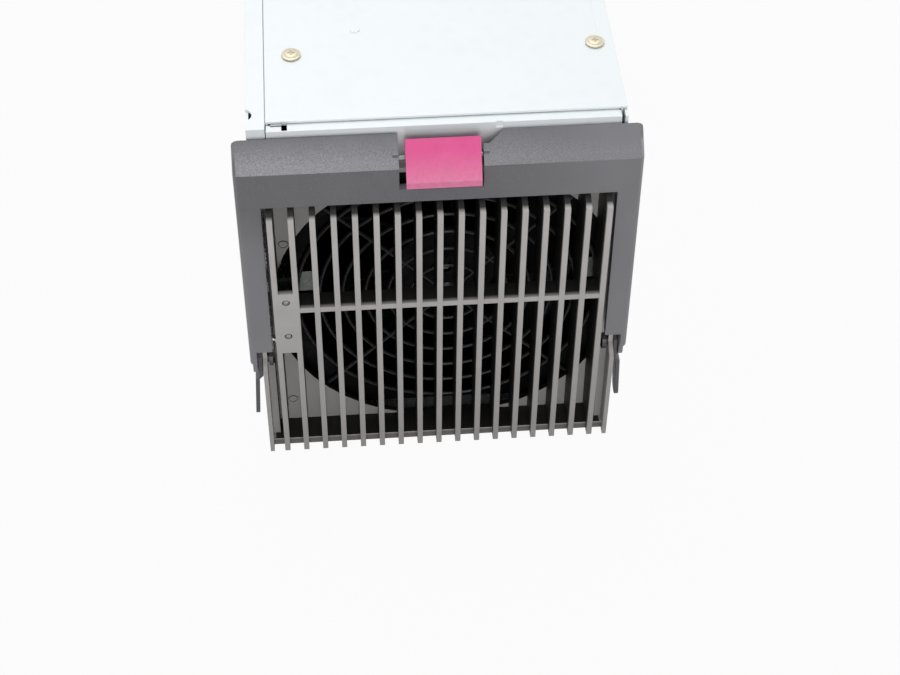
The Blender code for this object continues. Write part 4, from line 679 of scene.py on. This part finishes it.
def set_camera(settings):
    data = bpy.data.cameras.new("camera")
    data.lens = settings.lens
    data.sensor_width = 36.0
    data.clip_start = 0.05
    data.clip_end = 50.0
    camera = bpy.data.objects.new("camera", data)
    bpy.context.scene.collection.objects.link(camera)
    turn = Euler((math.pi / 2 - settings.drop, 0.0, -settings.yaw)).to_matrix().to_4x4()
    lean = Matrix.Rotation(settings.roll, 4, "Z")
    camera.matrix_world = Matrix.Translation(CAMERA_PLACE) @ turn @ lean
    bpy.context.scene.camera = camera


def seen_directly(nodes, links):
    """One for camera, glossy and transmission rays, else nothing."""
    path = nodes.new("ShaderNodeLightPath")
    first = nodes.new("ShaderNodeMath")
    first.operation = "MAXIMUM"
    links.new(path.outputs["Is Camera Ray"], first.inputs[0])
    links.new(path.outputs["Is Glossy Ray"], first.inputs[1])
    second = nodes.new("ShaderNodeMath")
    second.operation = "MAXIMUM"
    links.new(first.outputs["Value"], second.inputs[0])
    links.new(path.outputs["Is Transmission Ray"], second.inputs[1])
    return second.outputs["Value"]


def set_world(settings):
    world = bpy.data.worlds.new("studio")
    world.use_nodes = True
    bpy.context.scene.world = world
    nodes = world.node_tree.nodes
    links = world.node_tree.links
    light = nodes["Background"]
    light.inputs["Color"].default_value = (1.0, 1.0, 1.0, 1.0)
    light.inputs["Strength"].default_value = settings.ambient
    shown = nodes.new("ShaderNodeBackground")
    shown.inputs["Color"].default_value = (1.0, 1.0, 1.0, 1.0)
    shown.inputs["Strength"].default_value = 1.0
    mix = nodes.new("ShaderNodeMixShader")
    links.new(seen_directly(nodes, links), mix.inputs["Fac"])
    links.new(light.outputs["Background"], mix.inputs[1])
    links.new(shown.outputs["Background"], mix.inputs[2])
    links.new(mix.outputs["Shader"], nodes["World Output"].inputs["Surface"])


def lamp(name, power, size, place):
    """A square area lamp that points at the module's front."""
    data = bpy.data.lights.new(name, "AREA")
    data.energy = power
    data.size = size
    obj = bpy.data.objects.new(name, data)
    bpy.context.scene.collection.objects.link(obj)
    aim = LAMP_TARGET - place
    obj.matrix_world = Matrix.Translation(place) @ aim.to_track_quat("-Z", "Y").to_matrix().to_4x4()


def lay_floor(settings):
    form = bmesh.new()
    bmesh.ops.create_grid(form, x_segments=2, y_segments=2, size=settings.floor / 2,
                          matrix=Matrix.Translation((0.0, 0.0, -FLOOR_DROP)))
    mesh = bpy.data.meshes.new("floor")
    form.to_mesh(mesh)
    form.free()
    floor = bpy.data.objects.new("floor", mesh)
    bpy.context.scene.collection.objects.link(floor)
    finish, shader, place = new_finish("floor_white", (0.5, 0.5, 0.5), 0.9)
    drive(mapped(grain(place, 300.0), 0.3, 0.7, 0.88, 0.92), shader, "Roughness")
    nodes = finish.node_tree.nodes
    links = finish.node_tree.links
    glow = nodes.new("ShaderNodeEmission")
    glow.inputs["Color"].default_value = (1.0, 1.0, 1.0, 1.0)
    share = nodes.new("ShaderNodeMath")
    share.operation = "MULTIPLY"
    share.inputs[1].default_value = FLOOR_GLOW
    mix = nodes.new("ShaderNodeMixShader")
    links.new(seen_directly(nodes, links), share.inputs[0])
    links.new(share.outputs["Value"], mix.inputs["Fac"])
    links.new(shader.outputs["BSDF"], mix.inputs[1])
    links.new(glow.outputs["Emission"], mix.inputs[2])
    links.new(mix.outputs["Shader"], nodes["Material Output"].inputs["Surface"])
    mesh.materials.append(finish)


class SUPPLY_OT_steel_case(bpy.types.Operator):
    """Finishes the tray, the cross bar, the cover and the rear panel as plated sheet"""
    bl_idname = "supply.steel_case"
    bl_label = "Steel case"

    def execute(self, context):
        settings = looks().metal
        steel = plated_steel("plated_steel", settings.zinc)
        for node in ("chassis_tray", "front_cross_bar", "top_cover"):
            piece = finish_piece(f"{node}_sheet", merged_copy(node), "case", "zinc_steel", steel, node)
            round_edges(piece, settings.sheet_edge)
        paint_node("rear_panel", steel)
        return {"FINISHED"}


class SUPPLY_OT_case_screws(bpy.types.Operator):
    """Models the cover's screws with cross recesses and finishes the housing's screws"""
    bl_idname = "supply.case_screws"
    bl_label = "Case screws"

    def execute(self, context):
        settings = looks().metal
        brass = turned_metal("brass", settings.brass, 0.4, 0.55)
        for number in range(1, 5):
            node = f"cover_screw_{number}"
            low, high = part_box(node)
            form = screw_form(low, high)
            finish_piece(f"{node}_head", form, "case", "brass", brass, node)
        zinc = turned_metal("screw_zinc", settings.zinc, 0.3)
        for side in ("left", "right"):
            paint_node(f"housing_screw_{side}", zinc)
        return {"FINISHED"}


def screw_form(low, high):
    """A washer head with a domed top and a cross recess, and its shank, in a CAD screw's box."""
    reach = (high.x - low.x) / 2
    head = Vector(((low.x + high.x) / 2, (low.y + high.y) / 2, high.z))
    shank = SHANK_SHARE * reach
    tip = low.z - head.z
    crown = [(0.0, 0.02), (0.07, 0.02), (0.2, 0.02), (0.32, 0.04), (0.38, 0.06), (0.6, 0.16)]
    shoulder = [(0.72, 0.36), (0.76, 0.62), (0.96, 0.68), (1.0, 0.8)]
    profile = [(share * reach, -drop * MM) for share, drop in crown + shoulder]
    profile += [(reach, -WASHER_THICKNESS), (shank, -WASHER_THICKNESS), (shank, tip), (0.0, tip)]
    form = bmesh.new()
    spun(form, profile, head, (0, 0, 1), 48)
    close_up(form)
    for vert in form.verts:
        away = vert.co - head
        on_crown = away.z > -0.1 * MM and away.xy.length < CROSS_REACH * reach
        if on_crown and min(abs(away.x), abs(away.y)) < CROSS_HALF_WIDTH * reach:
            vert.co.z -= CROSS_DEPTH
    return form


class SUPPLY_OT_grille_housing(bpy.types.Operator):
    """Finishes the finned front moulding with rounded fin edges and adds the bosses on its web"""
    bl_idname = "supply.grille_housing"
    bl_label = "Grille housing"

    def execute(self, context):
        settings = looks().moulding
        grey = fin_moulding("fin_moulding", settings.fin_grey)
        piece = finish_piece("finned_front", merged_copy("grille_housing"), "case", "grey_moulding", grey,
                             "grille_housing")
        round_edges(piece, settings.fin_edge)
        bosses = bmesh.new()
        profile = [(0.0, -BOSS_DISH), (0.7 * BOSS_RADIUS, -BOSS_DISH), (0.75 * BOSS_RADIUS, -BOSS_RIM),
                   (0.9 * BOSS_RADIUS, -BOSS_RIM), (BOSS_RADIUS, BOSS_DISH), (0.0, BOSS_DISH)]
        for x, z in BOSS_PLACES:
            spun(bosses, profile, Vector((x, WEB_FACE, z)), (0, 1, 0), 32)
        finish_piece("ejector_bosses", close_up(bosses), "case", "grey_moulding", grey)
        return {"FINISHED"}


class SUPPLY_OT_indicators(bpy.types.Operator):
    """Finishes the light pipes, the lamps' board and the foil-wrapped lead"""
    bl_idname = "supply.indicators"
    bl_label = "Indicators"

    def execute(self, context):
        clear = clear_moulding("clear_resin", (0.82, 0.87, 0.87))
        for node in ("light_pipe_lower", "light_pipe_upper"):
            piece = finish_piece(f"{node}_lens", merged_copy(node), "case", "clear_resin", clear, node)
            round_edges(piece, LENS_EDGE, 3)
        paint_node("led_board", solder_mask("lamp_board", (0.01, 0.022, 0.014)))
        foil = crumpled_foil("foil_wrap", (0.92, 0.93, 0.94))
        lead = crumpled(merged_copy("led_harness"))
        finish_piece("foil_lead", lead, "case", "foil_braid", foil, "led_harness")
        return {"FINISHED"}


def crumpled(form):
    """Breaks a smooth lead up into facets of wrapped foil."""
    folds_per_metre = 1100
    creases_per_metre = 2600
    depth = 0.42
    bmesh.ops.subdivide_edges(form, edges=form.edges[:], cuts=2, use_grid_fill=True, smooth=0.6)
    for vert in form.verts:
        push = noise.noise(vert.co * folds_per_metre) + 0.6 * noise.noise(vert.co * creases_per_metre)
        vert.co += vert.normal * push * depth * MM
    bmesh.ops.triangulate(form, faces=form.faces[:])
    return form


class SUPPLY_OT_fan_guard(bpy.types.Operator):
    """Models the finger guard from round wires"""
    bl_idname = "supply.fan_guard"
    bl_label = "Fan guard"

    def execute(self, context):
        settings = looks().fan
        low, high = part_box("fan_guard")
        centre = fan_axis()
        centre.y = (low.y + high.y) / 2
        wire = settings.wire
        corner = (high.x - low.x) / 2 - EYELET_INSET
        pitch = GUARD_RADIUS / (settings.rings - 1 + FIRST_RING)
        form = bmesh.new()
        for i in range(settings.rings):
            wire_ring(form, pitch * (i + FIRST_RING), wire, centre, 64 + 16 * i)
        for turn in (45, 135, 225, 315):
            way = Vector((math.cos(math.radians(turn)), 0.0, math.sin(math.radians(turn))))
            hole = centre + way * corner * math.sqrt(2)
            straight_rod(form, centre, hole - way * EYELET_RADIUS, wire)
            wire_ring(form, EYELET_RADIUS, wire, hole, 24)
        flat = DISC_RADIUS - DISC_CHAMFER
        disc = [(0.0, -wire), (flat, -wire), (DISC_RADIUS, -wire * 0.4), (DISC_RADIUS, wire * 0.4),
                (flat, wire), (0.0, wire)]
        spun(form, disc, centre, (0, 1, 0), 32)
        black = satin_moulding("guard_enamel", tone(74, 74, 76), 0.28)
        finish_piece("wire_guard", close_up(form), "case", "black_moulding", black, "fan_guard")
        return {"FINISHED"}


class SUPPLY_OT_fan_frame(bpy.types.Operator):
    """Finishes the fan's frame, its screws, its two clips as a darker and a paler copy of one steel, painted
    shade on the left and painted light on the right, and its lead
    """
    bl_idname = "supply.fan_frame"
    bl_label = "Fan frame"

    def execute(self, context):
        black = satin_moulding("fan_moulding", looks().moulding.black, 0.5, DARK_GLOSS)
        frame_piece = finish_piece("fan_surround", merged_copy("fan_frame"), "case", "black_moulding", black,
                                   "fan_frame")
        round_edges(frame_piece, FAN_EDGE)
        zinc = turned_metal("fan_screw_zinc", looks().metal.zinc, 0.3)
        for number in range(1, 5):
            paint_node(f"fan_screw_{number}", zinc)
        # Painted shade and light: the like clips get a darker left and a paler right copy of one steel
        for side, share, sheen in (("left", 0.7, 1.0), ("right", 1.2, 0.4)):
            node = f"fan_clip_{side}"
            steel = scaled_colour(looks().metal.bright, share)
            bright = turned_metal(f"clip_steel_{side}", steel, 0.35, sheen)
            clip = finish_piece(f"{node}_spring", merged_copy(node), "case", "bright_steel", bright, node)
            round_edges(clip, CLIP_EDGE)
        paint_node("fan_lead", satin_moulding("lead_sleeve", looks().moulding.black, 0.5))
        return {"FINISHED"}


class SUPPLY_OT_fan_rotor(bpy.types.Operator):
    """Models the swept blades and the hub, and finishes the motor inside"""
    bl_idname = "supply.fan_rotor"
    bl_label = "Fan rotor"

    def execute(self, context):
        settings = looks().fan
        low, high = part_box("fan_impeller")
        hub = fan_axis()
        hub.y = low.y
        tip = (high.x - low.x) / 2
        form = bmesh.new()
        spun(form, hub_profile(HUB_RADIUS, high.y - low.y), hub, (0, 1, 0), 64)
        for number in range(settings.blades):
            turn = math.radians(number * 360 / settings.blades)
            add_blade(form, hub, HUB_RADIUS, tip, turn, settings.blade)
        black = satin_moulding("rotor_moulding", looks().moulding.black, 0.4, DARK_GLOSS)
        rotor = finish_piece("rotor_with_blades", close_up(form), "fan_rotor", "black_moulding", black,
                             "fan_impeller")
        round_edges(rotor, ROTOR_EDGE, 2, 50)
        dark = turned_metal("dark_steel", (0.2, 0.2, 0.21), 0.4)
        for node in ("fan_magnet_ring", "fan_bearing_front", "fan_bearing_rear"):
            paint_node(node, dark)
        paint_node("fan_shaft", turned_metal("shaft_steel", tone(232, 226, 205), 0.4, 0.3))
        paint_node("fan_stator", enamelled_wire("stator_winding", looks().metal.copper, 0.6, "Y"))
        return {"FINISHED"}


def hub_profile(radius, depth):
    """The cupped hub's section, as radius and distance from its front: bore, dish, rim, wall and sleeve."""
    bore = 1.9 * MM
    dish = 0.6 * MM
    dish_edge = 6.2 * MM
    face = 2.2 * MM
    wall = 2.0 * MM
    sleeve = 4.5 * MM
    sleeve_end = 6.0 * MM
    rim = 2.6 * MM
    rim_curve = [(rim, 0.0), (1.2 * MM, 0.35 * MM), (0.35 * MM, 1.2 * MM), (0.0, rim)]
    front = [(bore, sleeve_end), (bore, 1.0 * MM), (2.3 * MM, dish), (dish_edge - dish, dish),
             (dish_edge, 0.0)]
    outside = [(radius - inset, back) for inset, back in rim_curve]
    inside = [(radius, depth), (radius - wall, depth), (radius - wall, face), (sleeve, face),
              (sleeve, sleeve_end), (bore, sleeve_end)]
    return front + outside + inside


def add_blade(form, hub, root, tip, turn, thickness):
    """One swept blade: a grid bent to its twisted middle surface and given a wall."""
    blade = bmesh.new()
    bmesh.ops.create_grid(blade, x_segments=12, y_segments=14, size=0.5)
    middle = hub.y + BLADE_SETBACK + BLADE_DEPTH / 2
    root_chord = BLADE_DEPTH / math.sin(math.radians(ROOT_PITCH))
    for vert in blade.verts:
        step = vert.co.x
        share = vert.co.y + 0.5
        radius = root - BLADE_SINK + (tip - root + BLADE_SINK) * share
        pitch = math.radians(ROOT_PITCH - PITCH_LOSS * share)
        chord = root_chord * (1 + TIP_WIDENING * share)
        camber = CAMBER * (1 - 4 * step * step)
        axial = step * chord * math.sin(pitch) + camber * math.cos(pitch)
        across = step * chord * math.cos(pitch) - camber * math.sin(pitch)
        angle = turn + math.radians(SWEEP * share * share) + across / radius
        vert.co = (hub.x + radius * math.cos(angle), middle + axial, hub.z + radius * math.sin(angle))
    bmesh.ops.recalc_face_normals(blade, faces=blade.faces[:])
    bmesh.ops.solidify(blade, geom=blade.faces[:], thickness=thickness)
    mesh = bpy.data.meshes.new("blade")
    blade.to_mesh(mesh)
    blade.free()
    form.from_mesh(mesh)
    bpy.data.meshes.remove(mesh)


class SUPPLY_OT_handle(bpy.types.Operator):
    """Finishes the handle, its cam levers and the pins that they turn on"""
    bl_idname = "supply.handle"
    bl_label = "Handle"

    def execute(self, context):
        settings = looks().moulding
        grey = handle_moulding("handle_moulding", settings.handle_grey, arms=0.28)
        piece = finish_piece("handle_moulding", merged_copy("handle_frame"), "handle", "charcoal_moulding",
                             grey, "handle_frame")
        round_edges(piece, settings.handle_edge, 3)
        dark = handle_moulding("lever_moulding", scaled_colour(settings.handle_grey, 0.55))
        for side in ("left", "right"):
            lever = finish_piece(f"{side}_lever_moulding", merged_copy(f"{side}_cam_lever"), "handle",
                                 "charcoal_moulding", dark, f"{side}_cam_lever")
            round_edges(lever, LEVER_EDGE)
            paint_node(f"pivot_pin_{side}", turned_metal(f"pin_steel_{side}", looks().metal.pin, 0.5))
        return {"FINISHED"}


class SUPPLY_OT_latch(bpy.types.Operator):
    """Finishes the release latch, its pin and its spring"""
    bl_idname = "supply.latch"
    bl_label = "Release latch"

    def execute(self, context):
        settings = looks().moulding
        magenta = latch_moulding("latch_moulding", settings.latch_magenta)
        piece = finish_piece("latch_button", merged_copy("release_latch"), "latch", "magenta_moulding",
                             magenta, "release_latch")
        round_edges(piece, settings.latch_edge, 3)
        bright = turned_metal("spring_steel", looks().metal.bright, 0.25)
        for node in ("latch_pin", "latch_spring"):
            paint_node(node, bright)
        return {"FINISHED"}


class SUPPLY_OT_rear_connectors(bpy.types.Operator):
    """Finishes the mains inlet, the output connector and the bus bars"""
    bl_idname = "supply.rear_connectors"
    bl_label = "Rear connectors"

    def execute(self, context):
        black = spark_moulding("connector_moulding", looks().moulding.black, 0.42)
        for node in ("ac_inlet", "output_connector"):
            piece = finish_piece(f"{node}_moulding", merged_copy(node), "case", "black_moulding", black, node)
            round_edges(piece, CONNECTOR_EDGE)
        copper = turned_metal("bus_copper", looks().metal.copper, 0.35)
        for node in ("bus_bar_positive", "bus_bar_return"):
            paint_node(node, copper)
        return {"FINISHED"}


class SUPPLY_OT_power_stage(bpy.types.Operator):
    """Finishes the boards and the parts on them"""
    bl_idname = "supply.power_stage"
    bl_label = "Power stage"

    def execute(self, context):
        metal = looks().metal
        green = solder_mask("solder_mask", (0.04, 0.2, 0.09))
        sinks = extruded_metal("extruded_aluminium", (0.7, 0.71, 0.72))
        sleeve = satin_moulding("capacitor_sleeve", (0.012, 0.014, 0.03), 0.35)
        winding = enamelled_wire("choke_winding", metal.copper, 1.2, "X")
        finishes = {
            "main_board": green,
            "control_board": green,
            "primary_heat_sink": sinks,
            "secondary_heat_sink": sinks,
            "bulk_capacitor_1": sleeve,
            "bulk_capacitor_2": sleeve,
            "boost_choke": winding,
            "output_inductor_1": winding,
            "output_inductor_2": winding,
            "filter_choke": winding,
            "insulation_sheet": wrapped_film("insulating_film", (0.75, 0.7, 0.5), 30.0),
            "transformer_core": sintered("ferrite", (0.07, 0.07, 0.075), 0.65),
            "transformer_winding": wrapped_film("winding_tape", (0.8, 0.62, 0.12), 9.0),
            "filter_capacitor": satin_moulding("film_capacitor", (0.75, 0.6, 0.15), 0.4),
            "mains_relay": spark_moulding("relay_case", (0.03, 0.03, 0.035), 0.5),
            "fuse": sintered("fuse_ceramic", (0.85, 0.84, 0.8), 0.35),
        }
        for node, finish in finishes.items():
            paint_node(node, finish)
        return {"FINISHED"}


class SUPPLY_PT_panel(bpy.types.Panel):
    """Lists the module's operators and settings in the sidebar"""
    bl_idname = "SUPPLY_PT_panel"
    bl_label = "Power supply module"
    bl_space_type = "VIEW_3D"
    bl_region_type = "UI"
    bl_category = "Module"

    def draw(self, context):
        layout = self.layout
        for operator in OPERATORS:
            layout.operator(operator.bl_idname)
        for group in (looks().moulding, looks().metal, looks().fan, looks().stage):
            box = layout.box()
            for name in group.__annotations__:
                box.prop(group, name)


OPERATORS = (SUPPLY_OT_stage, SUPPLY_OT_steel_case, SUPPLY_OT_case_screws, SUPPLY_OT_grille_housing,
             SUPPLY_OT_indicators, SUPPLY_OT_fan_guard, SUPPLY_OT_fan_frame, SUPPLY_OT_fan_rotor,
             SUPPLY_OT_handle, SUPPLY_OT_latch, SUPPLY_OT_rear_connectors, SUPPLY_OT_power_stage)
GROUPS = (MouldingSettings, MetalSettings, FanSettings, StageSettings, ModuleLooks)


def register():
    for item in GROUPS + OPERATORS + (SUPPLY_PT_panel,):
        bpy.utils.register_class(item)
    bpy.types.Scene.module_looks = bpy.props.PointerProperty(type=ModuleLooks, name="Module looks",
                                                             description="Settings of the module's looks")


def unregister():
    del bpy.types.Scene.module_looks
    for item in reversed(GROUPS + OPERATORS + (SUPPLY_PT_panel,)):
        bpy.utils.unregister_class(item)


def main():
    register()
    bpy.ops.supply.stage()
    bpy.ops.supply.steel_case()
    bpy.ops.supply.case_screws()
    bpy.ops.supply.grille_housing()
    bpy.ops.supply.indicators()
    bpy.ops.supply.fan_guard()
    bpy.ops.supply.fan_frame()
    bpy.ops.supply.fan_rotor()
    bpy.ops.supply.handle()
    bpy.ops.supply.latch()
    bpy.ops.supply.rear_connectors()
    bpy.ops.supply.power_stage()


if __name__ == "__main__":
    main()
